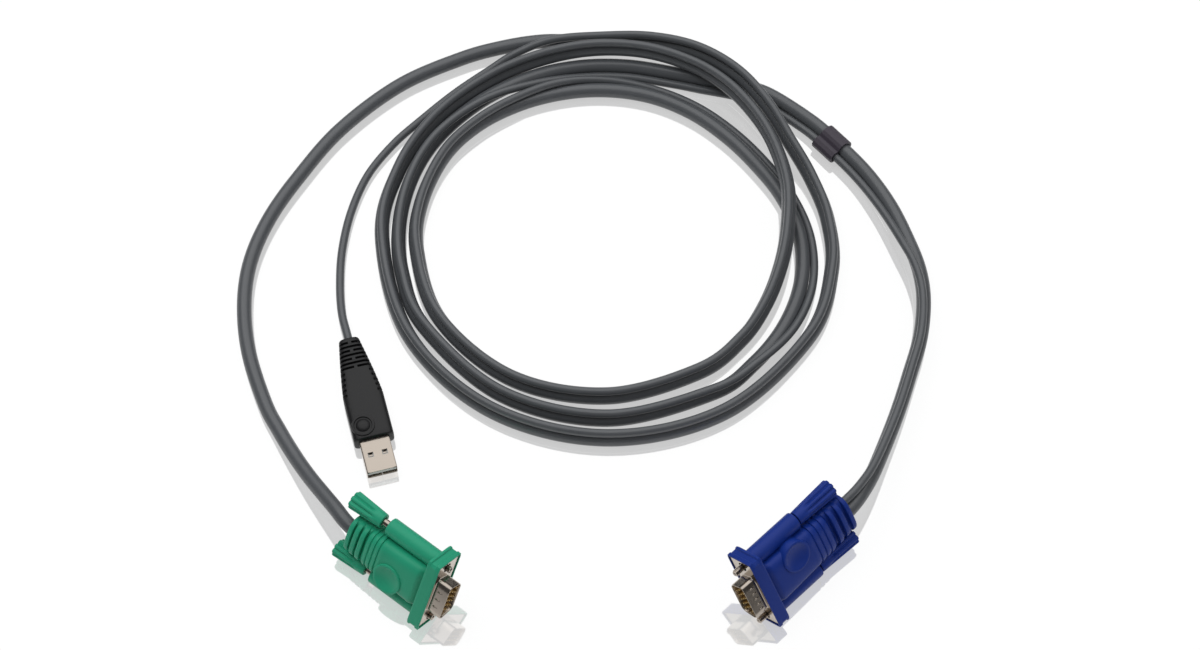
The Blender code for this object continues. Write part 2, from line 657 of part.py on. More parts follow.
def build_usb_plug(seat, mats):
    body = seat.add("usb_overmould", usb_body(), mats["overmould"])
    upright = Matrix.Rotation(-math.pi / 2, 3, "X")
    top = USB_HALF_H + 0.5 * MM
    medal = seat.add("usb_medal", profile(medal_profile(USB_MEDAL_R, USB_MEDAL_RING_W, MM, top)),
                     at=(USB_MEDAL_X, 0, USB_MEDAL_Z), turn=upright)
    boolean(body, turned(medal, TURN_STEPS), "UNION")
    half_w = USB_SHELL_W / 2 + CLEAR
    half_h = USB_SHELL_H / 2 + CLEAR
    socket = boxes([((-half_w, half_w), (-half_h, half_h), (-MM, USB_SHELL_ROOT + CLEAR))])
    boolean(body, seat.add("usb_socket", socket), "DIFFERENCE")
    for cutter in usb_slot_cutters():
        boolean(body, seat.add("usb_slots", cutter), "DIFFERENCE")
    boolean(body, seat.add("usb_notches", boxes(usb_notch_spans())), "DIFFERENCE")

    outer = rounded_rectangle(USB_SHELL_W, USB_SHELL_H, USB_SHELL_CORNER_R)
    inner = rounded_rectangle(USB_SHELL_W - 2 * USB_SHELL_WALL, USB_SHELL_H - 2 * USB_SHELL_WALL,
                              USB_SHELL_CORNER_R - USB_SHELL_WALL)
    shell = seat.add("usb_shell", plate([outer, inner], -USB_SHELL_REACH, USB_SHELL_ROOT), mats["nickel"])
    windows = []
    for side in (-1, 1):
        x = side * USB_WINDOW_SPACING / 2
        windows.append(((x - USB_WINDOW / 2, x + USB_WINDOW / 2), (-USB_SHELL_H, USB_SHELL_H),
                        (-USB_WINDOW_BACK - USB_WINDOW, -USB_WINDOW_BACK)))
    boolean(shell, seat.add("usb_windows", boxes(windows)), "DIFFERENCE")

    tongue_w = USB_SHELL_W / 2 - USB_SHELL_WALL - CLEAR
    tongue_top = USB_SHELL_H / 2 - USB_SHELL_WALL - CLEAR
    tongue_face = tongue_top - TONGUE_T
    front = TONGUE_SET_BACK - USB_SHELL_REACH
    tongue = seat.add("usb_tongue", boxes([((-tongue_w, tongue_w), (tongue_face, tongue_top),
                                            (front, USB_SHELL_ROOT - CLEAR))]), mats["tongue"])
    groove_floor = tongue_face + CONTACT_T + CLEAR
    grooves = []
    for x in CONTACT_X:
        half = CONTACT_W / 2 + CLEAR
        grooves.append(((x - half, x + half), (tongue_face - MM, groove_floor),
                        (front + 0.6 * MM, front + 0.6 * MM + CONTACT_LENGTH + 2 * CLEAR)))
    boolean(tongue, seat.add("usb_grooves", boxes(grooves)), "DIFFERENCE")
    for number, x in enumerate(CONTACT_X, 1):
        z_from = front + 0.6 * MM + CLEAR
        seat.add(f"usb_contact_{number}", boxes([((x - CONTACT_W / 2, x + CONTACT_W / 2),
                                                  (tongue_face, tongue_face + CONTACT_T),
                                                  (z_from, z_from + CONTACT_LENGTH))]), mats["gold"])


# Leads

def smooth(points, samples=24):
    # A Catmull-Rom curve through the points.
    path = []
    ends = [2 * points[0] - points[1]] + points + [2 * points[-1] - points[-2]]
    for p0, p1, p2, p3 in zip(ends, ends[1:], ends[2:], ends[3:]):
        for i in range(samples):
            t = i / samples
            path.append(0.5 * (2 * p1 + (p2 - p0) * t + (2 * p0 - 5 * p1 + 4 * p2 - p3) * t ** 2
                               + (3 * p1 - p0 - 3 * p2 + p3) * t ** 3))
    return path + [points[-1]]


def spaced(path, count):
    # The same path as evenly spaced points.
    reach = [0.0]
    for near, far in zip(path, path[1:]):
        reach.append(reach[-1] + (far - near).length)
    result = []
    index = 0
    for i in range(count):
        want = reach[-1] * i / (count - 1)
        while index < len(path) - 2 and reach[index + 1] < want:
            index += 1
        share = (want - reach[index]) / (reach[index + 1] - reach[index])
        result.append(path[index].lerp(path[index + 1], share))
    return result


def route(start, direction, chosen, count):
    # Straight out of the plug for a short run, then evenly through the chosen points.
    curve = smooth([start + direction * STUB] + [Vector(point) * MM for point in chosen])
    return [start] + spaced(curve, count - 1)


def rolled(path, rolls):
    # The way from the thick lead to the thin one at each point of the twin's path.
    up = Vector((0, 0, 1))
    sides = []
    for i, roll in enumerate(rolls):
        along = (path[min(i + 1, len(path) - 1)] - path[max(i - 1, 0)]).normalized()
        left = up.cross(along).normalized()
        sides.append(along.cross(left) * math.cos(roll) + left * math.sin(roll))
    return sides


def lead(seat, name, points, diameter, mat):
    curve = bpy.data.curves.new(name, "CURVE")
    curve.dimensions = "3D"
    curve.bevel_depth = diameter / 2
    curve.bevel_resolution = LEAD_SIDES // 2 - 2
    curve.use_fill_caps = True
    curve.resolution_u = 1
    curve.render_resolution_u = 0
    spline = curve.splines.new("POLY")
    spline.points.add(len(points) - 1)
    for point, place in zip(spline.points, points):
        point.co = (*place, 1)
    curve.materials.append(mat)
    obj = bpy.data.objects.new(name, curve)
    seat.parts.objects.link(obj)
    obj.parent = seat.empty


def twin_tail(start, plug):
    # The thick lead's path, and the way from it to the thin one, from the blue hood to the coil.
    across = plug.to_3x3().col[0]
    back = plug.to_3x3().col[2]
    thick_start = start - across * (LEAD_SPACING + USB_LEAD_D / 2 - VIDEO_LEAD_D / 2) / 2
    thick = route(thick_start, back, [point[:3] for point in TWIN_ROUTE], TWIN_TAIL_COUNT)
    rolls = []
    for point in thick:
        near = sorted(TWIN_ROUTE, key=lambda other: (Vector(other[:3]) * MM - point).length)[:2]
        gaps = [(Vector(other[:3]) * MM - point).length for other in near]
        rolls.append(math.radians(blend(near[0][3], near[1][3], gaps[0] / sum(gaps))))
    rolls[0] = rolls[1] = BLUE_LEAN
    sides = rolled(thick, rolls)
    sides[CLIP_SEGMENT_COUNT + 1] = sides[CLIP_SEGMENT_COUNT]
    return thick, sides


def two_circles(big_r, small_r, distance, steps=7):
    # Outline of two overlapping circles, the small one above the big one.
    meet = (distance ** 2 + big_r ** 2 - small_r ** 2) / (2 * distance)
    half = math.sqrt(big_r ** 2 - meet ** 2)
    low = math.atan2(meet, half)
    high = math.atan2(meet - distance, half)
    outer = arc((0, 0), big_r, math.pi - low, math.tau + low, 2 * steps)
    return outer[:-1] + arc((0, distance), small_r, high, math.pi - high, steps)[:-1]


def build_clip(seat, mats, thick, sides):
    start, end = thick[CLIP_SEGMENT_COUNT:CLIP_SEGMENT_COUNT + 2]
    place = start.lerp(end, 0.5)
    along = (end - start).normalized()
    side = sides[CLIP_SEGMENT_COUNT]
    across = side.cross(along).normalized()
    frame = Matrix((across, along.cross(across), along)).transposed().to_4x4()
    spot = Assembly(seat.parts, seat.cutters, seat.empty, Matrix.Translation(place) @ frame)
    hole_thick = VIDEO_LEAD_D / 2 + CLIP_PLAY
    hole_thin = USB_LEAD_D / 2 + CLIP_PLAY
    outer = two_circles(hole_thick + CLIP_WALL, hole_thin + CLIP_WALL, LEAD_SPACING)
    inner = two_circles(hole_thick, hole_thin, LEAD_SPACING)
    spot.add("cable_clip", plate([outer, inner], -CLIP_LENGTH / 2, CLIP_LENGTH / 2), mats["clip"])


def build_coil(seat, mats):
    mid = (COIL_INNER_R + COIL_OUTER_R) / 2
    half = (COIL_OUTER_R - COIL_INNER_R) / 2
    height = COIL_HEIGHT / 2
    corner = rounded_rectangle(2 * half, 2 * height, COIL_EDGE, steps=1)
    points = [(mid + x, height + y) for x, y in reversed(corner)]
    coil = seat.add("coil", profile(points, closed=True), mats["lead"], at=COIL_CENTRE)
    turned(coil, COIL_STEPS)


# Placing

def plug_matrix(xy, heading, lean, side, half_w, half_h, corner):
    # Local z runs back along the lead and local y is the normal of the plug's broad face.
    ahead = Vector((math.cos(heading), math.sin(heading), 0))
    beside = side * Vector((-ahead.y, ahead.x, 0))
    normal = math.cos(lean) * beside + math.sin(lean) * Vector((0, 0, 1))
    back = -ahead
    across = normal.cross(back)
    lift = (half_w - corner) * abs(across.z) + (half_h - corner) * abs(normal.z) + corner
    frame = Matrix((across, normal, back)).transposed().to_4x4()
    return Matrix.Translation((*xy, lift)) @ frame


def main():
    for obj in list(bpy.data.objects):
        bpy.data.objects.remove(obj)
    scene = bpy.context.scene
    parts = bpy.data.collections.new("kvm_cable")
    cutters = bpy.data.collections.new("cutters")
    scene.collection.children.link(parts)
    scene.collection.children.link(cutters)
    mats = {
        "green": material("green_plastic", (0.030, 0.340, 0.190), 0.42),
        "blue": material("blue_plastic", (0.014, 0.045, 0.300), 0.42),
        "overmould": material("black_overmould", (0.024, 0.024, 0.024), 0.5),
        "lead": material("grey_jacket", (0.090, 0.100, 0.115), 0.45),
        "clip": material("clip_plastic", (0.098, 0.087, 0.112), 0.5),
        "nickel": material("nickel_plate", (0.68, 0.66, 0.62), 0.25, 1.0),
        "gold": material("gold_plate", (0.83, 0.62, 0.27), 0.3, 1.0),
        "black": material("black_insulator", (0.012, 0.012, 0.012), 0.5),
        "tongue": material("tongue_plastic", (0.62, 0.62, 0.60), 0.5),
    }
    table = Assembly(parts, cutters, None, Matrix.Translation(-ORIGIN))
    flange = (FLANGE_W / 2, FLANGE_H / 2, FLANGE_CORNER_R)
    green = plug_matrix(GREEN_XY, GREEN_HEADING, GREEN_LEAN, -1, *flange)
    blue = plug_matrix(BLUE_XY, BLUE_HEADING, BLUE_LEAN, 1, *flange)
    usb = plug_matrix(USB_XY, USB_HEADING, math.pi / 2, 1, USB_HALF_W, USB_HALF_H, 0)
    build_video_plug(Assembly(parts, cutters, table.empty, green), "green", mats)
    build_video_plug(Assembly(parts, cutters, table.empty, blue), "blue", mats)
    build_usb_plug(Assembly(parts, cutters, table.empty, usb), mats)

    build_coil(table, mats)
    green_end = Vector((0, 0, GREEN_HOOD_LENGTH + CLEAR))
    blue_end = Vector((0, 0, BLUE_HOOD_LENGTH + CLEAR))
    usb_end = Vector((0, 0, USB_BODY_LENGTH + CLEAR))
    thick, sides = twin_tail(blue @ blue_end, blue)
    thin = [point + side * LEAD_SPACING for point, side in zip(thick, sides)]
    lead(table, "twin_video_tail", thick, VIDEO_LEAD_D, mats["lead"])
    lead(table, "twin_usb_tail", thin, USB_LEAD_D, mats["lead"])
    build_clip(table, mats, thick, sides)
    video = route(green @ green_end, green.to_3x3().col[2], VIDEO_ROUTE, VIDEO_TAIL_COUNT)
    lead(table, "green_video_tail", video, VIDEO_LEAD_D, mats["lead"])
    thin_leg = route(usb @ usb_end, usb.to_3x3().col[2], USB_ROUTE, USB_TAIL_COUNT)
    lead(table, "usb_tail", thin_leg, USB_LEAD_D, mats["lead"])


main()
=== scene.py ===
import math

import bmesh
import bpy
from mathutils import Matrix, Vector


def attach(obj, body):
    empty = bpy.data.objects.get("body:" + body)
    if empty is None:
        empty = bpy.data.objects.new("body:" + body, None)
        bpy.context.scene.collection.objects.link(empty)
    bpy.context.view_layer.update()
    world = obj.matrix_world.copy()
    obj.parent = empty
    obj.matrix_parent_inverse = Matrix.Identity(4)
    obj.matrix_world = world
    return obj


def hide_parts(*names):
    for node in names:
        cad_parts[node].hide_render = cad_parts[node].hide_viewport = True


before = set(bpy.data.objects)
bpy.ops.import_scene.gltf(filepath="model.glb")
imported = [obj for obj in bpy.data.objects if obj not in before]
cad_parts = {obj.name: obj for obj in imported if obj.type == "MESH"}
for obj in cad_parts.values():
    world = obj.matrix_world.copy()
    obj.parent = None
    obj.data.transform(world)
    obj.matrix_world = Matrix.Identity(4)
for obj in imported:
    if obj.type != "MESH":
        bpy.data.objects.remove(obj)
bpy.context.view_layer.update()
print("frame loaded:", len(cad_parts), "nodes")

mm = 0.001
layoutOrigin = Vector((0.19, -21.81, 0))  # where the CAD's origin lies on the table, in mm


def onTable(x, y, z=0):  # a place on the table in mm becomes a place in the frame
    return (Vector((x, y, z)) - layoutOrigin) * mm


# camera at the photograph's angle

view = {
    "elevation": math.radians(61),
    "distance": 1.133,
    "lens": 85,
    "sensor": 36,
    "target": onTable(0, 0),
}


def addCamera():
    camera = bpy.data.objects.new("camera", bpy.data.cameras.new("camera"))
    bpy.context.scene.collection.objects.link(camera)
    camera.data.lens = view["lens"]
    camera.data.sensor_width = view["sensor"]
    camera.data.clip_start = 0.01
    back = Vector((0, -math.cos(view["elevation"]), math.sin(view["elevation"])))
    camera.location = view["target"] + back * view["distance"]
    camera.rotation_euler = (math.pi / 2 - view["elevation"], 0, 0)
    bpy.context.scene.camera = camera


addCamera()
print("camera placed")

# node helpers


def addNode(tree, kind, place=(0, 0), **settings):
    node = tree.nodes.new(kind)
    node.location = (place[0] * 220, place[1] * 220)
    for name, value in settings.items():
        setattr(node, name, value)
    return node


def newMaterial(name, colour, roughness, metallic=0.0, **sockets):
    material = bpy.data.materials.new(name)
    material.use_nodes = True
    shader = material.node_tree.nodes["Principled BSDF"]
    shader.inputs["Base Color"].default_value = (*colour, 1)
    shader.inputs["Roughness"].default_value = roughness
    shader.inputs["Metallic"].default_value = metallic
    for socket, value in sockets.items():
        shader.inputs[socket.replace("_", " ")].default_value = value
    material.diffuse_color = (*colour, 1)
    return material, material.node_tree, shader


def groupSockets(group, inputs, outputs):
    for name, kind, value in inputs:
        socket = group.interface.new_socket(name, in_out="INPUT", socket_type=kind)
        socket.default_value = value
    for name, kind in outputs:
        group.interface.new_socket(name, in_out="OUTPUT", socket_type=kind)


def makeSurfaceGroup():  # mottled colour and roughness with a fine bump, for plastics and plating
    group = bpy.data.node_groups.new("surfaceWear", "ShaderNodeTree")
    groupSockets(group, [
        ("Color", "NodeSocketColor", (0.5, 0.5, 0.5, 1)),
        ("Mottle", "NodeSocketFloat", 0.06),
        ("Roughness", "NodeSocketFloat", 0.4),
        ("Roughness Spread", "NodeSocketFloat", 0.08),
        ("Mottle Scale", "NodeSocketFloat", 90.0),
        ("Grain Scale", "NodeSocketFloat", 2600.0),
        ("Grain Depth", "NodeSocketFloat", 0.00002),
    ], [("Color", "NodeSocketColor"), ("Roughness", "NodeSocketFloat"), ("Normal", "NodeSocketVector")])
    source = addNode(group, "NodeGroupInput", (-5, 0))
    result = addNode(group, "NodeGroupOutput", (4, 0))
    coords = addNode(group, "ShaderNodeTexCoord", (-5, -2))
    link = group.links.new
    mottle = addNode(group, "ShaderNodeTexNoise", (-3, 1))
    mottle.inputs["Detail"].default_value = 4
    link(coords.outputs["Object"], mottle.inputs["Vector"])
    link(source.outputs["Mottle Scale"], mottle.inputs["Scale"])
    centred = addNode(group, "ShaderNodeMath", (-2, 1), operation="SUBTRACT")
    centred.inputs[1].default_value = 0.5
    link(mottle.outputs["Fac"], centred.inputs[0])
    shade = addNode(group, "ShaderNodeMath", (-1, 1), operation="MULTIPLY_ADD")
    shade.inputs[2].default_value = 1
    link(centred.outputs[0], shade.inputs[0])
    link(source.outputs["Mottle"], shade.inputs[1])
    tint = addNode(group, "ShaderNodeVectorMath", (0, 1), operation="SCALE")
    link(source.outputs["Color"], tint.inputs[0])
    link(shade.outputs[0], tint.inputs["Scale"])
    link(tint.outputs[0], result.inputs["Color"])
    rough = addNode(group, "ShaderNodeMath", (0, 0), operation="MULTIPLY_ADD", use_clamp=True)
    link(centred.outputs[0], rough.inputs[0])
    link(source.outputs["Roughness Spread"], rough.inputs[1])
    link(source.outputs["Roughness"], rough.inputs[2])
    link(rough.outputs[0], result.inputs["Roughness"])
    grain = addNode(group, "ShaderNodeTexNoise", (-3, -1))
    grain.inputs["Detail"].default_value = 2
    link(coords.outputs["Object"], grain.inputs["Vector"])
    link(source.outputs["Grain Scale"], grain.inputs["Scale"])
    height = addNode(group, "ShaderNodeMath", (-1, -1), operation="MULTIPLY")
    link(grain.outputs["Fac"], height.inputs[0])
    link(source.outputs["Grain Depth"], height.inputs[1])
    bump = addNode(group, "ShaderNodeBump", (1, -1))
    bump.inputs["Distance"].default_value = 1
    link(height.outputs[0], bump.inputs["Height"])
    link(bump.outputs[0], result.inputs["Normal"])
    return group


surfaceGroup = makeSurfaceGroup()


def dressSurface(tree, shader, colour, **values):
    wear = addNode(tree, "ShaderNodeGroup", (-2, 0), node_tree=surfaceGroup)
    wear.inputs["Color"].default_value = (*colour, 1)
    for name, value in values.items():
        wear.inputs[name.replace("_", " ")].default_value = value
    for name, socket in (("Color", "Base Color"), ("Roughness", "Roughness"), ("Normal", "Normal")):
        tree.links.new(wear.outputs[name], shader.inputs[socket])


def plainFinish(name, colour, roughness, metallic=0.0, wear=None, **sockets):
    material, tree, shader = newMaterial(name, colour, roughness, metallic, **sockets)
    dressSurface(tree, shader, colour, Roughness=roughness, **(wear or {}))
    return material


greenPlastic = plainFinish("greenPlastic", (0.018, 0.330, 0.185), 0.42, Specular_IOR_Level=0.35,
                           wear={"Mottle": 0.10, "Grain_Depth": 0.00002})
bluePlastic = plainFinish("bluePlastic", (0.006, 0.030, 0.235), 0.42, Specular_IOR_Level=0.3,
                          wear={"Mottle": 0.12, "Grain_Depth": 0.00002})
blackOvermould = plainFinish("blackOvermould", (0.010, 0.010, 0.011), 0.42, Specular_IOR_Level=0.5,
                             wear={"Mottle": 0.3, "Grain_Scale": 1500.0, "Grain_Depth": 0.00006})
clipPlastic = plainFinish("clipPlastic", (0.055, 0.046, 0.062), 0.45, wear={"Mottle": 0.2})
nickelPlate = plainFinish("nickelPlate", (0.60, 0.53, 0.46), 0.2, 1.0,
                          wear={"Mottle": 0.12, "Roughness_Spread": 0.25, "Grain_Depth": 0.000005})
goldPlate = plainFinish("goldPlate", (0.56, 0.40, 0.17), 0.3, 1.0, wear={"Mottle": 0.15})
blackInsulator = plainFinish("blackInsulator", (0.01, 0.01, 0.01), 0.5, wear={"Mottle": 0.2})
tonguePlastic = plainFinish("tonguePlastic", (0.6, 0.6, 0.58), 0.45, wear={"Mottle": 0.08})
greyJacket = plainFinish("greyJacket", (0.088, 0.094, 0.102), 0.33, Specular_IOR_Level=0.85,
                         wear={"Mottle": 0.16, "Mottle_Scale": 60.0, "Roughness_Spread": 0.12,
                               "Grain_Depth": 0.00003})
print("materials ready")

# mesh helpers

loopSteps = 96
sharpAngle = math.radians(32)  # an edge that turns more than this isn't smoothed
upright = Matrix.Rotation(-math.pi / 2, 4, "X")  # a turned shape's axis becomes the broad face's normal


def addLoop(bm, outline, z, steps=loopSteps):  # a closed loop of edges; outline turns an angle into x, y
    made = bmesh.ops.create_circle(bm, segments=steps, radius=1)["verts"]
    for vert in made:
        vert.co = (*outline(math.atan2(vert.co.y, vert.co.x)), z)
    return list({edge for vert in made for edge in vert.link_edges})


def addLoft(bm, sections, steps=loopSteps, ring=False):  # sections are pairs of an outline and a z
    loops = [addLoop(bm, outline, z, steps) for outline, z in sections]
    if ring:
        loops.append(loops[0])
    else:
        for loop in (loops[0], loops[-1]):
            bmesh.ops.contextual_create(bm, geom=loop)
    for near, far in zip(loops, loops[1:]):
        bmesh.ops.bridge_loops(bm, edges=near + far)


def addPlate(bm, outlines, bottom, top):  # outlines after the first are holes
    edges = [edge for outline in outlines for edge in addLoop(bm, outline, bottom)]
    filled = bmesh.ops.triangle_fill(bm, edges=edges, use_beauty=True, use_dissolve=False)
    faces = [part for part in filled["geom"] if isinstance(part, bmesh.types.BMFace)]
    raised = bmesh.ops.extrude_face_region(bm, geom=faces, use_keep_orig=True)
    verts = [part for part in raised["geom"] if isinstance(part, bmesh.types.BMVert)]
    bmesh.ops.translate(bm, verts=verts, vec=(0, 0, top - bottom))


def addTurned(bm, profile, steps, place=Matrix.Identity(4), dvec=(0, 0, 0), angle=math.tau):
    verts = [bm.verts.new(place @ Vector((radius, 0, height))) for radius, height in profile]
    edges = [bm.edges.new(pair) for pair in zip(verts, verts[1:])]
    axis = place.to_3x3() @ Vector((0, 0, 1))
    bmesh.ops.spin(bm, geom=verts + edges, cent=place.translation, axis=axis, angle=angle, steps=steps,
                   dvec=dvec, use_merge=angle == math.tau)


def circle(radius, x=0.0):
    return lambda angle: (x + radius * math.cos(angle), radius * math.sin(angle))


def roundBox(halfW, halfH, corner):  # a rectangle with round corners
    def outline(angle):
        dx, dy = math.cos(angle), math.sin(angle)
        reach = min(halfW / max(abs(dx), 1e-9), halfH / max(abs(dy), 1e-9))
        x, y = reach * dx, reach * dy
        inX, inY = halfW - corner, halfH - corner
        if abs(x) <= inX or abs(y) <= inY:
            return x, y
        out = Vector((abs(x) - inX, abs(y) - inY)).normalized() * corner
        return math.copysign(inX + out.x, x), math.copysign(inY + out.y, y)
    return outline


def facetedOval(halfW, halfH, power, facet=0.0):  # a superellipse with a flat across each corner
    sharp, tilt = 22, 0.62  # how crisp the flat's edges are, and how it leans
    meet = math.hypot(halfW, halfH)
    lean = math.atan2(halfW, halfH * tilt)

    def outline(angle):
        dx, dy = abs(math.cos(angle)), abs(math.sin(angle))
        reach = ((dx / halfW) ** power + (dy / halfH) ** power) ** (-1 / power)
        if facet:
            flat = facet * meet / max(math.cos(math.atan2(dy, dx) - lean), 1e-3)
            reach = (reach ** -sharp + flat ** -sharp) ** (-1 / sharp)
        return reach * math.cos(angle), reach * math.sin(angle)
    return outline


def finishPiece(name, bm, place, body, material, slot, *nodes):  # takes the place of those CAD nodes
    bmesh.ops.remove_doubles(bm, verts=bm.verts, dist=0.0005)
    bmesh.ops.recalc_face_normals(bm, faces=bm.faces)
    bm.transform(place)
    for face in bm.faces:
        face.smooth = True
    for edge in bm.edges:
        if len(edge.link_faces) == 2 and edge.calc_face_angle(0) > sharpAngle:
            edge.smooth = False
    mesh = bpy.data.meshes.new(name)
    bm.to_mesh(mesh)
    bm.free()
    mesh.materials.append(material)
    piece = bpy.data.objects.new(name, mesh)
    bpy.context.scene.collection.objects.link(piece)
    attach(piece, body)
    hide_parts(*nodes)
    return piece


def cutWith(bm, cutter):  # the first mesh less the second one
    pieces = []
    for name, source in (("cutBlank", bm), ("cutTool", cutter)):
        bmesh.ops.recalc_face_normals(source, faces=source.faces)
        mesh = bpy.data.meshes.new(name)
        source.to_mesh(mesh)
        source.free()
        piece = bpy.data.objects.new(name, mesh)
        bpy.context.scene.collection.objects.link(piece)
        pieces.append(piece)
    blank, tool = pieces
    cut = blank.modifiers.new("cut", "BOOLEAN")
    cut.object = tool
    cut.solver = "EXACT"
    cut.use_self = True
    shape = bpy.data.meshes.new_from_object(blank.evaluated_get(bpy.context.evaluated_depsgraph_get()))
    result = bmesh.new()
    result.from_mesh(shape)
    for piece in pieces:
        mesh = piece.data
        bpy.data.objects.remove(piece)
        bpy.data.meshes.remove(mesh)
    bpy.data.meshes.remove(shape)
    return result


def addMesh(bm, other):
    mesh = bpy.data.meshes.new("joined")
    other.to_mesh(mesh)
    other.free()
    bm.from_mesh(mesh)
    bpy.data.meshes.remove(mesh)


def plugFrame(x, y, z, heading, lean, side):  # z runs back along the lead, y is the broad face's normal
    heading, lean = math.radians(heading), math.radians(lean)
    ahead = Vector((math.cos(heading), math.sin(heading), 0))
    normal = math.cos(lean) * side * Vector((-ahead.y, ahead.x, 0)) + math.sin(lean) * Vector((0, 0, 1))
    turn = Matrix((normal.cross(-ahead), normal, -ahead)).transposed().to_4x4()
    return Matrix.Translation(onTable(x, y, z)) @ turn @ Matrix.Scale(mm, 4)


def blend(start, end, share):
    return start + (end - start) * min(max(share, 0), 1)


# the two hoods: ribbed and slotted mouldings behind a flange

flange = {
    "halfW": 16.4, "halfH": 7.25, "depth": 5.4, "corner": 1.3,
    "rim": 0.7, "groove": 0.5, "lip": 1.6, "recess": 4.2,
}
channel = {"x": 12.5, "radius": 3.7, "bore": 1.95, "end": 28.0, "steps": 64}
medallion = {
    "radius": 6.3, "ring": 1.05, "proud": 0.55, "x": 4.3, "z": 19.0, "bowl": 1.35,
    "bowlEase": 0.15, "root": 2.0, "steps": 80,
}
hoodBody = {
    "halfW": 9.6, "halfH": 6.7, "endHalfH": 5.8, "power": (5.0, 3.2), "facet": (0.93, 0.955),
    "shoulder": 3.0, "waist": 1.3, "riseSteps": 8,
    "slots": 3, "coreHalfH": 3.9, "coreInset": 0.12,
    "ribs": 4, "ribDrop": 0.42,
    # a rib's outline, as shares of its pitch and of its drop
    "ribShape": ((0.0, 0.06), (0.06, 0.0), (0.35, 0.05), (0.8, 0.75), (0.88, 0.95), (0.93, 1.0)),
}
plugs = {
    "green": {
        "frame": plugFrame(-60, -123.6, 17.391, -38, 29, -1), "plastic": greenPlastic,
        "length": 41.5, "endHalfW": 7.9, "slot": 0.9, "ring": 2.0, "ribPitch": 2.1,
        "gripFront": 31.0, "gripLength": 15.0, "dimples": (-3.6, 0.0, 3.6),
    },
    "blue": {
        "frame": plugFrame(57.4, -123.2, 17.176, -136, 33.5, 1), "plastic": bluePlastic,
        "length": 48.6, "endHalfW": 8.3, "slot": 1.8, "ring": 2.0, "ribPitch": 2.7,
        "gripFront": 28.6, "gripLength": 19.0, "dimples": (-5.2, -2.6, 0.0, 2.6, 5.2),
    },
}


def hoodShare(plug, z):  # 0 at the shoulder, 1 at the hood's end
    start = flange["depth"] + hoodBody["shoulder"]
    return (z - start) / (plug["length"] - start)


def hoodSection(plug, z, shrink=0.0, waist=0.0):
    share = hoodShare(plug, z)
    halfW = blend(hoodBody["halfW"], plug["endHalfW"], share)
    halfH = blend(hoodBody["halfH"], hoodBody["endHalfH"], max(share, 0) ** 2)
    return facetedOval(halfW - shrink, halfH - shrink - waist, blend(*hoodBody["power"], share),
                       blend(*hoodBody["facet"], share)), z


def addHoodBody(bm, plug):
    depth, shoulder, steps = flange["depth"], hoodBody["shoulder"], hoodBody["riseSteps"]
    end = plug["length"] - hoodBody["slots"] * (plug["slot"] + plug["ring"])
    ribStart = end - hoodBody["ribs"] * plug["ribPitch"]
    sections = [hoodSection(plug, depth - 1.1, 0, hoodBody["waist"])]
    for step in range(steps + 1):  # an S-shaped rise from the flange to the full height
        share = step / steps
        waist = hoodBody["waist"] * (1 - share * share * (3 - 2 * share))
        sections.append(hoodSection(plug, depth + shoulder * share, 0, waist))
    for share in (0.25, 0.5, 0.75):
        sections.append(hoodSection(plug, blend(depth + shoulder, ribStart, share)))
    for rib in range(hoodBody["ribs"]):
        start = ribStart + rib * plug["ribPitch"]
        for share, drop in hoodBody["ribShape"]:
            sections.append(hoodSection(plug, start + share * plug["ribPitch"], drop * hoodBody["ribDrop"]))
    sections += [hoodSection(plug, end - 0.1, 0.1), hoodSection(plug, end + 0.02, 0.3)]
    addLoft(bm, sections)


def addHoodRings(bm, plug):
    length, slot, ring = plug["length"], plug["slot"], plug["ring"]
    for number in range(hoodBody["slots"]):
        back = length - number * (slot + ring)
        near = back - ring
        soft = 0.55 if number == 0 else 0.3  # the last ring is the roundest
        addLoft(bm, [hoodSection(plug, near, 0.3), hoodSection(plug, near + 0.08, 0.1),
                     hoodSection(plug, near + 0.3, 0), hoodSection(plug, back - soft, 0),
                     hoodSection(plug, back - soft * 0.3, soft * 0.3), hoodSection(plug, back, soft)])
    near = length - hoodBody["slots"] * (slot + ring)
    core = []
    for z in (near - 0.5, near, length - 0.4):
        halfW = blend(hoodBody["halfW"], plug["endHalfW"], hoodShare(plug, z)) - hoodBody["coreInset"]
        core.append((facetedOval(halfW, hoodBody["coreHalfH"], hoodBody["power"][0]), z))
    addLoft(bm, core)


def addFlange(bm):
    halfW, halfH, corner, depth = flange["halfW"], flange["halfH"], flange["corner"], flange["depth"]
    rim, groove, lip, recess = flange["rim"], flange["groove"], flange["lip"], flange["recess"]

    def outer(z, inX=0.0, inY=0.0):
        return roundBox(halfW - inX, halfH - inY, corner), z

    def inner(z, out=0.0):
        return roundBox(halfW - rim + out, halfH - rim + out, corner - rim * 0.7), z
    addLoft(bm, [inner(recess), inner(0.12), inner(0.0, 0.1), outer(0.0, 0.2, 0.2),
                 outer(0.06, 0.06, 0.06), outer(0.22), outer(lip - 0.1), outer(lip, 0.08),
                 outer(lip + 0.25, groove), outer(depth - 1.5, groove), outer(depth - 1.2, 0.1),
                 outer(depth - 1.1), outer(depth - 0.5), outer(depth - 0.22, 0.08, 0.08),
                 outer(depth - 0.06, 0.22, 0.22), outer(depth, 0.45, 0.45), inner(depth)], ring=True)
    holes = [circle(channel["bore"], side * channel["x"]) for side in (-1, 1)]
    addPlate(bm, [inner(0, 0.05)[0], *holes], recess, depth)


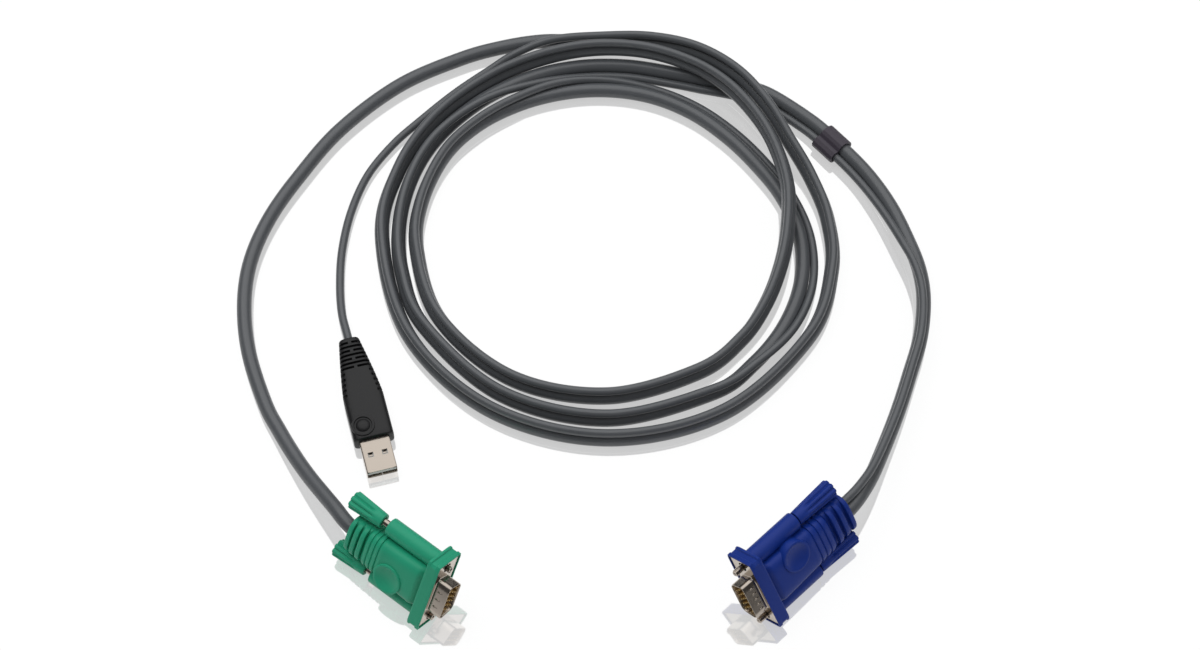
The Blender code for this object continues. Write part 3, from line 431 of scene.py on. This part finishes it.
def addChannel(bm, side):
    radius, bore, end = channel["radius"], channel["bore"], channel["end"]
    start = flange["depth"] - 0.6
    profile = [(bore, start), (radius, start), (radius, end - 0.6), (radius - 0.16, end - 0.2),
               (radius - 0.55, end), (bore + 0.15, end), (bore, end - 0.15), (bore, start)]
    addTurned(bm, profile, channel["steps"], Matrix.Translation((side * channel["x"], 0, 0)))


def medallionBowl(extra=0.0):  # a ball that cuts the hollow
    ring, depth = medallion["radius"] - medallion["ring"], medallion["bowl"] + extra
    top = hoodBody["halfH"] + medallion["proud"]
    radius = (ring ** 2 + depth ** 2) / (2 * depth)
    bm = bmesh.new()
    place = Matrix.Translation((medallion["x"], top - depth + radius, medallion["z"]))
    bmesh.ops.create_icosphere(bm, subdivisions=5, radius=radius, matrix=place)
    return bm


def medallionMesh():
    bm = bmesh.new()
    radius, top, root = medallion["radius"], hoodBody["halfH"] + medallion["proud"], medallion["root"]
    profile = [(0, top), (radius - 0.4, top), (radius - 0.12, top - 0.09), (radius, top - 0.3),
               (radius + 0.05, root), (0, root)]
    place = Matrix.Translation((medallion["x"], 0, medallion["z"])) @ upright
    addTurned(bm, profile, medallion["steps"], place)
    return cutWith(bm, medallionBowl())


for colour, plug in plugs.items():
    bm = bmesh.new()
    addHoodBody(bm, plug)
    bm = cutWith(bm, medallionBowl(medallion["bowlEase"]))  # deeper, so that only the disc shows
    addMesh(bm, medallionMesh())
    addHoodRings(bm, plug)
    addFlange(bm)
    for side in (-1, 1):
        addChannel(bm, side)
    plug["hood"] = finishPiece(f"{colour}HoodPiece", bm, plug["frame"], "cable", plug["plastic"],
                               f"{colour}_plastic", f"{colour}_hood")
print("hoods built")

# thumbscrews: fluted grips on steel screws

grip = {
    "frontR": 3.0, "backR": 3.8, "lobes": 8, "flute": 0.85, "collar": 2.4, "socket": 1.75,
    "around": 128, "along": 24, "fluteRise": 7,
}
screw = {
    "length": 43.4, "socketDepth": 10.7, "hold": 2.8, "shankR": 1.5, "neckR": 1.05, "neck": 3.0,
    "thread": 6.0, "threadR": 1.4, "threadDepth": 0.28, "pitch": 0.6, "around": 40, "turnSteps": 20,
}


def flutedCircle(radius, depth):
    def outline(angle):
        wave = 0.5 - 0.5 * math.cos(grip["lobes"] * angle)
        reach = radius - depth * wave ** 2
        return reach * math.cos(angle), reach * math.sin(angle)
    return outline


def addGrip(bm, plug):
    front, length, frontR, socket = plug["gripFront"], plug["gripLength"], grip["frontR"], grip["socket"]
    back = front + length
    sections = [(circle(socket), front + 3.0), (circle(socket), front + 0.12), (circle(socket + 0.12), front),
                (circle(frontR - 0.35), front), (circle(frontR - 0.1), front + 0.09),
                (circle(frontR), front + 0.35)]
    for step in range(grip["along"] + 1):
        z = blend(front + grip["collar"], back - 0.7, step / grip["along"])
        share = (z - front) / length
        deep = grip["flute"] * min(1.0, step / grip["fluteRise"]) ** 1.5
        sections.append((flutedCircle(blend(frontR, grip["backR"], share), deep), z))
    for z, shrink in ((back - 0.35, 0.08), (back - 0.1, 0.3), (back, 0.65)):
        sections.append((flutedCircle(grip["backR"] - shrink, grip["flute"]), z))
    sections.append((flutedCircle(grip["backR"] * 0.5, grip["flute"] * 0.3), back))
    addLoft(bm, sections, grip["around"])


def addScrew(bm, plug):
    shankR, neckR, threadR, pitch = screw["shankR"], screw["neckR"], screw["threadR"], screw["pitch"]
    end = plug["gripFront"] + screw["hold"]
    tip = plug["gripFront"] + screw["socketDepth"] - screw["length"]
    threadEnd = tip + screw["thread"]
    neckEnd = threadEnd + screw["neck"]
    root = threadR - screw["threadDepth"]
    profile = [(0, end), (shankR, end), (shankR, neckEnd + 0.2), (neckR, neckEnd), (neckR, threadEnd),
               (root, threadEnd - 0.3), (root, tip + 0.4), (root - 0.45, tip), (0, tip)]
    addTurned(bm, profile, screw["around"])
    turns = (screw["thread"] - 1.0) / pitch  # the ridge stops short of both ends
    start, half = tip + 0.35, pitch * 0.4
    ridge = [(root - 0.1, start - half), (threadR, start - 0.06), (threadR, start + 0.06),
             (root - 0.1, start + half)]
    steps = round(turns * screw["turnSteps"])
    addTurned(bm, ridge, steps, dvec=(0, 0, pitch * turns / steps), angle=math.tau * turns)


for colour, plug in plugs.items():
    for side, word in ((-1, "left"), (1, "right")):
        place = plug["frame"] @ Matrix.Translation((side * channel["x"], 0, 0))
        body = f"{colour}_thumbscrew_{word}"
        bm = bmesh.new()
        addGrip(bm, plug)
        gripPiece = finishPiece(f"{colour}Grip{word.title()}", bm, place, body, plug["plastic"],
                                f"{colour}_plastic", f"{colour}_grip_{word}")
        bm = bmesh.new()
        addScrew(bm, plug)
        screwPiece = finishPiece(f"{colour}Screw{word.title()}", bm, place, body, nickelPlate,
                                 "nickel_plate", f"{colour}_screw_{word}")
        plug[word] = [gripPiece, screwPiece]
print("thumbscrews built")

# metal fronts, insulators and pins of the video plugs

front = {
    "wideHalfW": 8.45, "halfH": 4.2, "slope": 10, "corner": 2.3, "wall": 0.45, "reach": 6.0,
    "plateZ": (0.4, 1.2), "plateHalfW": 15.4, "plateHalfH": 6.25, "plateCorner": 1.0,
    "dimple": (0.42, 0.34, 1.15), "dimpleAhead": 2.6,
}
insulator = {
    "face": front["plateZ"][0] - 0.6, "gap": 0.3,
    "backHalfW": 8.7, "backHalfH": 4.6, "backCorner": 0.3, "backZ": (1.5, 4.2),
}
pins = {"rows": 3, "columns": 5, "pitch": 2.29, "row": 1.98, "radius": 0.38, "reach": 5.0, "back": 3.9}


def dOutline(grow=0.0):  # the D shape, wider on the +y side, by its distance in each direction
    lean = math.radians(front["slope"])
    sides = [(0, 1, front["halfH"]), (0, -1, front["halfH"])]
    middle = front["wideHalfW"] - front["halfH"] * math.tan(lean)
    sides += [(side * math.cos(lean), -math.sin(lean), middle * math.cos(lean)) for side in (-1, 1)]
    corner = front["corner"]

    def outline(angle):
        dx, dy = math.cos(angle), math.sin(angle)
        low, high = 0.0, 20.0
        for _ in range(26):  # the reach at which the distance to the rounded shape equals grow
            reach = (low + high) / 2
            gaps = [nx * dx * reach + ny * dy * reach - far + corner for nx, ny, far in sides]
            outside = math.sqrt(sum(max(gap, 0) ** 2 for gap in gaps)) - corner
            low, high = (reach, high) if outside < grow else (low, reach)
        return reach * dx, reach * dy
    return outline


def addShell(bm, plug):
    low, high = front["plateZ"]
    wall, tip = front["wall"], low - front["reach"]
    addLoft(bm, [(dOutline(-wall), high), (dOutline(-wall), tip + 0.25), (dOutline(-wall * 0.8), tip + 0.06),
                 (dOutline(-wall * 0.5), tip), (dOutline(-wall * 0.2), tip + 0.06), (dOutline(), tip + 0.25),
                 (dOutline(), low - 0.5), (dOutline(0.06), low - 0.2), (dOutline(0.22), low - 0.04),
                 (dOutline(0.4), low), (dOutline(0.4), high)], ring=True)
    plate = roundBox(front["plateHalfW"], front["plateHalfH"], front["plateCorner"])
    holes = [circle(channel["bore"], side * channel["x"]) for side in (-1, 1)]
    addPlate(bm, [plate, dOutline(0.3), *holes], low, high)
    for x in plug["dimples"]:  # pressed spring dimples on the wide side
        place = Matrix.Translation((x, front["halfH"] - 0.02, low - front["dimpleAhead"]))
        place @= Matrix.Diagonal((*front["dimple"], 1))
        bmesh.ops.create_uvsphere(bm, u_segments=20, v_segments=12, radius=1, matrix=place)


def addInsulator(bm):
    face, grow = insulator["face"], -front["wall"] - insulator["gap"]
    low, high = insulator["backZ"]
    block = roundBox(insulator["backHalfW"], insulator["backHalfH"], insulator["backCorner"])
    addLoft(bm, [(dOutline(grow - 0.05), face), (dOutline(grow), face + 0.05), (dOutline(grow), low),
                 (block, low), (block, high)])


def addPins(bm):
    radius, back, tip = pins["radius"], pins["back"], insulator["face"] - pins["reach"]
    profile = [(0, back), (radius, back), (radius, tip + 0.3), (radius * 0.86, tip + 0.12),
               (radius * 0.5, tip + 0.02), (0, tip)]
    for row in range(pins["rows"]):
        shift = 0.25 if row == 1 else -0.25  # the middle row is half a pitch off the others
        for column in range(pins["columns"]):
            x = (column - pins["columns"] // 2 + shift) * pins["pitch"]
            addTurned(bm, profile, 16, Matrix.Translation((x, (1 - row) * pins["row"], 0)))


for colour, plug in plugs.items():
    pinNodes = [f"{colour}_pin_{number:02d}" for number in range(1, pins["rows"] * pins["columns"] + 1)]
    for name, build, values, material, slot, nodes in (
            ("Front", addShell, (plug,), nickelPlate, "nickel_plate", [f"{colour}_front_shell"]),
            ("Insulator", addInsulator, (), blackInsulator, "black_insulator", [f"{colour}_insulator"]),
            ("Pins", addPins, (), goldPlate, "gold_plate", pinNodes)):
        bm = bmesh.new()
        build(bm, *values)
        plug[name.lower()] = finishPiece(colour + name, bm, plug["frame"], "cable", material, slot, *nodes)
print("plug fronts built")

# the USB plug

usb = {
    "frame": plugFrame(-87.8, -54, 4.3, -75, 90, 1),
    # shell, windows and spring leaves
    "halfW": 6.0, "halfH": 2.25, "wall": 0.3, "corner": 0.55, "reach": 14.2, "shellEnd": 5.8, "seam": 0.12,
    "window": 1.1, "windowX": 2.8, "windowZ": -6.6, "leaf": (1.3, 0.14, 1.6), "leafIn": 0.8, "leafLean": 9,
    # tongue
    "tongueTop": 1.88, "tongueFace": 0.08, "tongueGap": 0.08, "tongueEnd": 5.6, "contact": 0.34,
    # overmould
    "bodyLength": 46.0, "straight": 19.0, "bodyHalfW": 8.0, "bodyHalfH": 4.3, "endHalfW": 4.0,
    "endHalfH": 3.1, "power": (5.4, 3.2), "facet": 0.93, "core": 2.15,
    "slotStart": 31.6, "slots": 7, "slotPitch": 1.9, "slotW": 0.9, "bridge": 1.3, "sideBridge": 2.0,
    "notchStart": 19.4, "notches": 5, "notchPitch": 2.4, "notchW": 1.2, "notchDepth": 1.9,
    "medalR": 4.6, "medalX": 3.0, "medalZ": 5.6,
}


def addBlock(bm, middle, size):
    place = Matrix.Translation(middle) @ Matrix.Diagonal((*size, 1))
    return bmesh.ops.create_cube(bm, size=1, matrix=place)["verts"]


def usbShellMesh():
    bm = bmesh.new()
    halfW, halfH, corner, wall = usb["halfW"], usb["halfH"], usb["corner"], usb["wall"]
    tip, end, width = -usb["reach"], usb["shellEnd"], 2 * usb["window"]

    def outer(z, shrink=0.0):
        return roundBox(halfW - shrink, halfH - shrink, max(corner - shrink, 0.1)), z
    addLoft(bm, [outer(end, wall), outer(tip + 0.5, wall), outer(tip + 0.16, wall * 0.85),
                 outer(tip, wall * 0.55), outer(tip + 0.05, 0.1), outer(tip + 0.3, 0.01), outer(tip + 0.5),
                 outer(end)], ring=True)
    windows = [(x, side) for x in (-usb["windowX"], usb["windowX"]) for side in (-1, 1)]
    cutter = bmesh.new()
    for x, side in windows:
        addBlock(cutter, (x, side * halfH, usb["windowZ"]), (width, 1.4, width))
    addBlock(cutter, (0, -halfH, tip / 2), (usb["seam"], 1.0, usb["reach"] + 2))
    bm = cutWith(bm, cutter)
    for x, side in windows:  # the spring leaves behind the windows
        y = side * (halfH - usb["leafIn"])
        verts = addBlock(bm, (x, y, usb["windowZ"] + 0.5), usb["leaf"])
        turn = Matrix.Rotation(side * math.radians(usb["leafLean"]), 3, "X")
        bmesh.ops.rotate(bm, verts=verts, cent=(x, y, usb["windowZ"]), matrix=turn)
    return bm


def usbOutline(z, shrink=0.0):
    share = max((z - usb["straight"]) / (usb["bodyLength"] - usb["straight"]), 0) ** 1.25
    halfW = blend(usb["bodyHalfW"], usb["endHalfW"], share) - shrink
    halfH = blend(usb["bodyHalfH"], usb["endHalfH"], share) - shrink
    return facetedOval(halfW, halfH, blend(*usb["power"], z / usb["bodyLength"]), usb["facet"]), z


def usbNotched(z, depth):  # the same outline with its sides cut back
    outline, z = usbOutline(z)
    reach = outline(0)[0] - depth

    def notched(angle):
        x, y = outline(angle)
        return max(-reach, min(reach, x)), y
    return notched, z


def addUsbMedal(bm):  # a domed button in a ring
    radius, top, root = usb["medalR"], usb["bodyHalfH"] + 0.5, 1.0
    profile = [(0, top + 0.35), (1.1, top + 0.28), (2.0, top + 0.08), (2.6, top - 0.2), (2.85, top - 0.44),
               (3.4, top - 0.47), (3.5, top - 0.3), (3.65, top), (radius - 0.3, top),
               (radius - 0.09, top - 0.09), (radius, top - 0.3), (radius, root), (0, root)]
    addTurned(bm, profile, 72, Matrix.Translation((usb["medalX"], 0, usb["medalZ"])) @ upright)


def usbBodyMesh():
    bm = bmesh.new()
    slotStart, slotW, length, deep = usb["slotStart"], usb["slotW"], usb["bodyLength"], usb["notchDepth"]
    sections = [usbOutline(0, 0.7), usbOutline(0.1, 0.4), usbOutline(0.35, 0.12), usbOutline(0.8)]
    sections += [usbOutline(z) for z in (3, 6, 9, 12, 15)]
    for number in range(usb["notches"]):
        low = usb["notchStart"] + number * usb["notchPitch"]
        high = low + usb["notchW"]
        sections += [usbNotched(low, 0), usbNotched(low + 0.12, deep), usbNotched(high - 0.12, deep),
                     usbNotched(high, 0)]
    sections += [usbOutline(slotStart - 0.5), usbOutline(slotStart - 0.08), usbOutline(slotStart, 0.12)]
    addLoft(bm, sections)
    for number in range(usb["slots"]):  # a slot, the ring behind it and the bridges across it
        last = number == usb["slots"] - 1
        low = slotStart + number * usb["slotPitch"] + slotW
        high = length if last else low + usb["slotPitch"] - slotW
        soft = 0.8 if last else 0.12
        addLoft(bm, [usbOutline(low, 0.12), usbOutline(low + 0.1), usbOutline(high - soft),
                     usbOutline(high - soft * 0.35, soft * 0.3), usbOutline(high, soft)])
        z = low - slotW / 2
        outline = usbOutline(z)[0]
        if number % 2 == 0:
            size = usb["bridge"], 2 * outline(math.pi / 2)[1] - 0.1
        else:
            size = 2 * outline(0)[0] - 0.5, usb["sideBridge"]
        addBlock(bm, (0, 0, z), (*size, slotW + 0.3))
    addLoft(bm, [(facetedOval(usbOutline(z)[0](0)[0] - 0.9, usb["core"], 3), z)
                 for z in (slotStart - 1, 36, 40, length - 0.5)])
    addUsbMedal(bm)
    return bm


def usbTongueMesh():  # thinner behind its front edge, where the contacts lie
    bm = bmesh.new()
    width, tip = 2 * (usb["halfW"] - usb["wall"] - usb["tongueGap"]), 0.25 - usb["reach"]
    top, face = usb["tongueTop"], usb["tongueFace"]
    for low, high, near, far in ((face, top, tip, tip + 0.9),
                                 (face + usb["contact"], top - 0.6, tip + 0.6, usb["tongueEnd"])):
        addBlock(bm, (0, (high + low) / 2, (near + far) / 2), (width, high - low, far - near))
    return bm


for name, build, material, slot, node in (
        ("usbShell", usbShellMesh, nickelPlate, "nickel_plate", "usb_shell"),
        ("usbOvermould", usbBodyMesh, blackOvermould, "black_overmould", "usb_overmould"),
        ("usbTongue", usbTongueMesh, tonguePlastic, "tongue_plastic", "usb_tongue")):
    finishPiece(name, build(), usb["frame"], "cable", material, slot, node)
contacts = [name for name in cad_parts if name.startswith("usb_contact")]
print("usb plug built")

# the two leads

leads = {
    "thickDiameter": 6.0,
    "thinDiameter": 3.4,
    "spacing": 4.75,
    "coilCentre": (2.8, 38.9),
    "pointSpacing": 2.0,
    "roundness": 6,
    "samples": 16,
}

# The thick lead's route from the blue hood to the coil: x, y, z in mm and the twin's roll in degrees.
# A roll of 0 puts the thin lead above the thick one, 90 beside it on the coil's side.
blueTail = [
    (93.29, -89.97, 15.63, 33.5), (95.6, -87.6, 15.6, 31), (99.4, -82.2, 14.9, 20), (104.4, -72.6, 12.4, 8),
    (110.6, -57.4, 9.0, 2), (116.5, -42, 7.4, 0), (121.8, -26, 6.6, 0), (127, -9, 6.0, 2),
    (129.3, 8, 5.6, 10), (128.4, 22, 5.3, 24), (124.6, 36, 5.0, 46), (118, 53.5, 4.6, 74),
    (108.8, 69.5, 4.4, 92), (97.4, 83.7, 4.2, 94), (87.5, 94.8, 3.5, 100),
]

# The coil's three turns and a bit: angle round the coil in degrees, radius, height and roll.
coilTurns = [
    (46, 96.8, 3.05, 106), (54, 91.6, 3.05, 106), (62, 87.2, 3.05, 106), (70, 84.9, 3.05, 106),
    (84, 84.0, 3.05, 106), (98, 84.0, 3.05, 98), (112, 84.1, 3.05, 70), (128, 84.3, 3.05, 30),
    (145, 84.8, 3.05, 5), (160, 84.9, 3.05, 0), (176, 84.6, 3.05, 0), (192, 84.2, 3.05, 0),
    (210, 83.8, 3.05, 0), (240, 83.2, 3.05, 0), (270, 82.8, 3.05, 0), (300, 82.4, 3.05, -5),
    (315, 82.2, 3.05, -24), (330, 81.8, 3.05, -62), (345, 80.8, 3.05, -94), (360, 78.3, 3.05, -106),
    (375, 74.2, 3.05, -106), (390, 70.6, 3.05, -106), (405, 69.4, 3.05, -106), (420, 69.9, 3.05, -106),
    (435, 70.8, 3.05, -104), (450, 71.5, 3.05, -84), (465, 72.5, 3.05, -44), (480, 74.1, 3.05, -12),
    (495, 76.2, 3.05, 0), (510, 77.5, 3.05, 0), (528, 77.5, 3.05, 0), (545, 77.1, 3.05, 0),
    (570, 76.8, 3.05, 0), (600, 75.2, 3.05, 0), (630, 73.0, 3.05, 0), (660, 71.8, 3.05, 0),
    (678, 71.6, 3.6, 0), (692, 71.4, 6.2, 0), (706, 71.6, 8.9, 2), (720, 72.9, 9.6, 4),
    (735, 76.2, 9.7, 6), (750, 79.6, 9.6, 8), (762, 82.6, 9.5, 8), (774, 85.6, 9.5, 8),
    (786, 87.4, 9.5, 8), (800, 88.4, 9.3, 6), (815, 89.0, 8.0, 4), (830, 89.8, 5.4, 2),
    (845, 90.3, 3.5, 0), (862, 90.9, 3.05, 0), (880, 91.2, 3.05, 0), (900, 91.2, 3.05, 0),
    (930, 91.0, 3.05, 0), (960, 91.2, 3.05, 0), (990, 91.4, 3.05, 0), (1020, 92.2, 3.05, 0),
    (1050, 92.6, 3.05, 0), (1070, 91.9, 3.05, 0), (1085, 90.2, 3.05, 0), (1098, 88.2, 3.6, 0),
    (1110, 87.0, 6.4, 0), (1122, 89.2, 9.2, 0), (1134, 92.6, 9.7, 0), (1146, 94.4, 9.4, 0),
    (1158, 94.9, 7.2, 0), (1170, 95.1, 4.4, 0),
]

# Past the coil the leads part: the thick one to the green hood, the thin one to the USB plug.
greenTail = [
    (-8.0, 134.9, 3.2), (-24, 135.2, 3.05), (-41, 132.1, 3.05), (-59, 126.0, 3.05), (-84, 112.7, 3.05),
    (-107.5, 91, 3.05), (-123.5, 68, 3.05), (-134.5, 48, 3.05), (-141, 28, 3.05), (-142.4, 8, 3.05),
    (-139.3, -14, 3.05), (-131.5, -37, 3.3), (-125.2, -49.4, 4.4), (-118.4, -61.6, 7.0),
    (-111.6, -72.6, 10.4), (-105.0, -82.2, 14.0), (-100.2, -89.0, 16.4), (-97.2, -93.4, 17.3),
    (-94.2, -96.8, 17.39), (-91.4, -99.0, 17.39),
]
usbTail = [
    (-19.6, 132.6, 8.2), (-34.9, 127.5, 5.6), (-47, 120.4, 2.6), (-61, 109.5, 1.75), (-74.8, 96.0, 1.75),
    (-85.5, 84.5, 1.75), (-95.4, 69.5, 1.75), (-101.5, 52, 1.75), (-104.4, 34, 1.75), (-104.6, 18, 1.85),
    (-103.2, 4.0, 3.2), (-100.7, -5.9, 4.3), (-99.78, -9.28, 4.3),
]


def smoothLine(points):  # a Catmull-Rom line through points of any number of values
    line, samples = [], leads["samples"]
    first = [2 * a - b for a, b in zip(points[0], points[1])]
    last = [2 * a - b for a, b in zip(points[-1], points[-2])]
    ends = [first, *points, last]
    for p0, p1, p2, p3 in zip(ends, ends[1:], ends[2:], ends[3:]):
        for step in range(samples):
            t = step / samples
            line.append([0.5 * (2 * b + (c - a) * t + (2 * a - 5 * b + 4 * c - d) * t * t
                                + (3 * b - a - 3 * c + d) * t ** 3) for a, b, c, d in zip(p0, p1, p2, p3)])
    return line + [list(points[-1])]


def evenLine(line, spacing):  # the same line with its points evenly spaced
    reach = [0.0]
    for near, far in zip(line, line[1:]):
        reach.append(reach[-1] + math.dist(near[:3], far[:3]))
    count = max(2, round(reach[-1] / spacing) + 1)
    result = []
    index = 0
    for step in range(count):
        want = reach[-1] * step / (count - 1)
        while index < len(line) - 2 and reach[index + 1] < want:
            index += 1
        share = (want - reach[index]) / (reach[index + 1] - reach[index])
        result.append([a + (b - a) * share for a, b in zip(line[index], line[index + 1])])
    return result


def twinControl():
    centreX, centreY = leads["coilCentre"]
    points = list(blueTail)
    for angle, radius, height, roll in coilTurns:
        turn = math.radians(angle)
        points.append((centreX + radius * math.cos(turn), centreY + radius * math.sin(turn), height, roll))
    return points


def thinBeside(control):  # the thin lead's own control points, beside the thick one's
    up = Vector((0, 0, 1))
    places = [Vector(point[:3]) for point in control]
    beside = []
    for index, point in enumerate(control):
        ahead = places[min(index + 1, len(places) - 1)] - places[max(index - 1, 0)]
        ahead.normalize()
        left = up.cross(ahead).normalized()
        roll = math.radians(point[3])
        side = ahead.cross(left) * math.cos(roll) + left * math.sin(roll)
        beside.append(tuple(places[index] + side * leads["spacing"]))
    return beside


def lineLength(line):
    return sum((far - near).length for near, far in zip(line, line[1:]))


def makeLead(name, control, diameter):
    line = evenLine(smoothLine(control), leads["pointSpacing"])
    places = [onTable(*point) for point in line]
    curve = bpy.data.curves.new(name, "CURVE")
    curve.dimensions = "3D"
    curve.bevel_depth = diameter / 2 * mm
    curve.bevel_resolution = leads["roundness"]
    curve.use_fill_caps = True
    curve.resolution_u = 1
    spline = curve.splines.new("POLY")
    spline.points.add(len(places) - 1)
    for point, place in zip(spline.points, places):
        point.co = (*place, 1)
    spline.use_smooth = True
    curve.materials.append(greyJacket)
    lead = bpy.data.objects.new(name, curve)
    bpy.context.scene.collection.objects.link(lead)
    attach(lead, "cable")
    print(name, "is", round(lineLength(places), 3), "m long")
    return lead, places


thickControl = twinControl()
thinControl = thinBeside(thickControl)
videoLead, videoLine = makeLead("videoLead", [point[:3] for point in thickControl] + greenTail,
                                leads["thickDiameter"])
usbLead, usbLine = makeLead("usbLead", thinControl + usbTail, leads["thinDiameter"])
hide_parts("coil", "green_video_tail", "twin_video_tail")
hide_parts("usb_tail", "twin_usb_tail")
greenPieces = [plugs["green"][key] for key in ("hood", "front", "insulator", "pins")]
greenPieces += plugs["green"]["left"] + plugs["green"]["right"]
print("leads laid")

# finishes of the CAD nodes that stay

for name, finish in [("cable_clip", clipPlastic)] + [(name, goldPlate) for name in contacts]:
    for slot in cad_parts[name].material_slots:
        slot.material = finish
print("clip and contacts dressed")

# table, light and world

stage = {
    "size": 12.0,
    "shade": 0.9,
    "mirror": 0.40,
    "mirrorRough": 0.05,
    "shadow": 0.16,
    "glow": 1.06,
    "dark": 0.30,
    "boxInner": 28,
    "boxOuter": 62,
    "mirrorDark": 0.05,
    "mirrorOuter": 47,
    "tableFade": (0.18, 0.25),
    "lampSize": 0.7,
    "lamps": {"keyLamp": ((-0.5, 0.35, 1.1), 5.0), "fillLamp": ((0.9, -0.3, 0.9), 1.5)},
}


def addTable():
    bpy.ops.mesh.primitive_plane_add(size=stage["size"], location=(0, 0, -0.0002))
    table = bpy.context.object
    table.name = "table"
    material = bpy.data.materials.new("whiteTable")
    material.use_nodes = True
    tree = material.node_tree
    tree.nodes.clear()
    output = addNode(tree, "ShaderNodeOutputMaterial", (4, 0))
    matt = addNode(tree, "ShaderNodeBsdfDiffuse", (0, 0))
    matt.inputs["Color"].default_value = (*[stage["shade"]] * 3, 1)
    glow = addNode(tree, "ShaderNodeEmission", (0, 1))
    coords = addNode(tree, "ShaderNodeTexCoord", (-4, 1))
    reach = addNode(tree, "ShaderNodeVectorMath", (-3, 1), operation="LENGTH")
    fade = addNode(tree, "ShaderNodeMapRange", (-2, 1))  # shiny parts see a table that ends
    fade.inputs["From Min"].default_value, fade.inputs["From Max"].default_value = stage["tableFade"]
    fade.inputs["To Min"].default_value = stage["glow"]
    fade.inputs["To Max"].default_value = stage["mirrorDark"]
    strength = addNode(tree, "ShaderNodeMix", (-1, 1), data_type="FLOAT")
    strength.inputs["A"].default_value = stage["glow"]
    mirror = addNode(tree, "ShaderNodeBsdfGlossy", (0, -1))
    mirror.inputs["Color"].default_value = (1, 1, 1, 1)
    mirror.inputs["Roughness"].default_value = stage["mirrorRough"]
    soft = addNode(tree, "ShaderNodeMixShader", (1, 1))
    soft.inputs["Fac"].default_value = stage["shadow"]
    shiny = addNode(tree, "ShaderNodeMixShader", (2, 0))
    shiny.inputs["Fac"].default_value = stage["mirror"]
    pick = addNode(tree, "ShaderNodeMixShader", (3, 0))
    rays = addNode(tree, "ShaderNodeLightPath", (1, 3))
    seen = addNode(tree, "ShaderNodeMath", (2, 3), operation="MAXIMUM")
    link = tree.links.new
    link(coords.outputs["Object"], reach.inputs[0])
    link(reach.outputs["Value"], fade.inputs["Value"])
    link(rays.outputs["Is Glossy Ray"], strength.inputs["Factor"])
    link(fade.outputs["Result"], strength.inputs["B"])
    link(strength.outputs["Result"], glow.inputs["Strength"])
    link(glow.outputs[0], soft.inputs[1])
    link(matt.outputs[0], soft.inputs[2])
    link(soft.outputs[0], shiny.inputs[1])
    link(mirror.outputs[0], shiny.inputs[2])
    link(rays.outputs["Is Camera Ray"], seen.inputs[0])
    link(rays.outputs["Is Glossy Ray"], seen.inputs[1])
    link(seen.outputs[0], pick.inputs["Fac"])
    link(matt.outputs[0], pick.inputs[1])
    link(shiny.outputs[0], pick.inputs[2])
    link(pick.outputs[0], output.inputs["Surface"])
    table.data.materials.append(material)


def addWorld():  # a wide white box light behind and above, in a dim room
    world = bpy.data.worlds.new("studio")
    bpy.context.scene.world = world
    world.use_nodes = True
    tree = world.node_tree
    tree.nodes.clear()
    output = addNode(tree, "ShaderNodeOutputWorld", (5, 0))
    light = addNode(tree, "ShaderNodeBackground", (3, 0))
    white = addNode(tree, "ShaderNodeBackground", (3, -1))
    pick = addNode(tree, "ShaderNodeMixShader", (4, 0))
    rays = addNode(tree, "ShaderNodeLightPath", (2, 2))
    seen = addNode(tree, "ShaderNodeMath", (3, 2), operation="MAXIMUM")
    coords = addNode(tree, "ShaderNodeTexCoord", (-1, 0))
    toward = addNode(tree, "ShaderNodeVectorMath", (0, 0), operation="DOT_PRODUCT")
    toward.inputs[1].default_value = (0, math.cos(view["elevation"]), math.sin(view["elevation"]))
    link = tree.links.new
    link(coords.outputs["Generated"], toward.inputs[0])
    strength = addNode(tree, "ShaderNodeMix", (2, 0), data_type="FLOAT")
    link(rays.outputs["Is Glossy Ray"], strength.inputs["Factor"])
    for name, row, outer, dark in (("A", 0, "boxOuter", "dark"), ("B", -2, "mirrorOuter", "mirrorDark")):
        ramp = addNode(tree, "ShaderNodeMapRange", (1, row), interpolation_type="SMOOTHSTEP")
        ramp.inputs["From Min"].default_value = math.cos(math.radians(stage[outer]))
        ramp.inputs["From Max"].default_value = math.cos(math.radians(stage["boxInner"]))
        ramp.inputs["To Min"].default_value = stage[dark]
        ramp.inputs["To Max"].default_value = 1.0
        link(toward.outputs["Value"], ramp.inputs["Value"])
        link(ramp.outputs["Result"], strength.inputs[name])
    link(strength.outputs["Result"], light.inputs["Strength"])
    for background in (light, white):
        background.inputs["Color"].default_value = (1, 1, 1, 1)
    link(rays.outputs["Is Camera Ray"], seen.inputs[0])
    link(rays.outputs["Is Transmission Ray"], seen.inputs[1])
    link(seen.outputs[0], pick.inputs["Fac"])
    link(light.outputs[0], pick.inputs[1])
    link(white.outputs[0], pick.inputs[2])
    link(pick.outputs[0], output.inputs["Surface"])


def addLamp(name, place, power):
    lamp = bpy.data.objects.new(name, bpy.data.lights.new(name, "AREA"))
    bpy.context.scene.collection.objects.link(lamp)
    lamp.location = place
    lamp.data.energy = power
    lamp.data.size = stage["lampSize"]
    lamp.rotation_euler = Vector(place).to_track_quat("Z", "Y").to_euler()
    lamp.visible_glossy = False


addTable()
addWorld()
for name, (place, power) in stage["lamps"].items():
    addLamp(name, place, power)
bpy.context.scene.view_settings.view_transform = "Standard"
print("stage set")
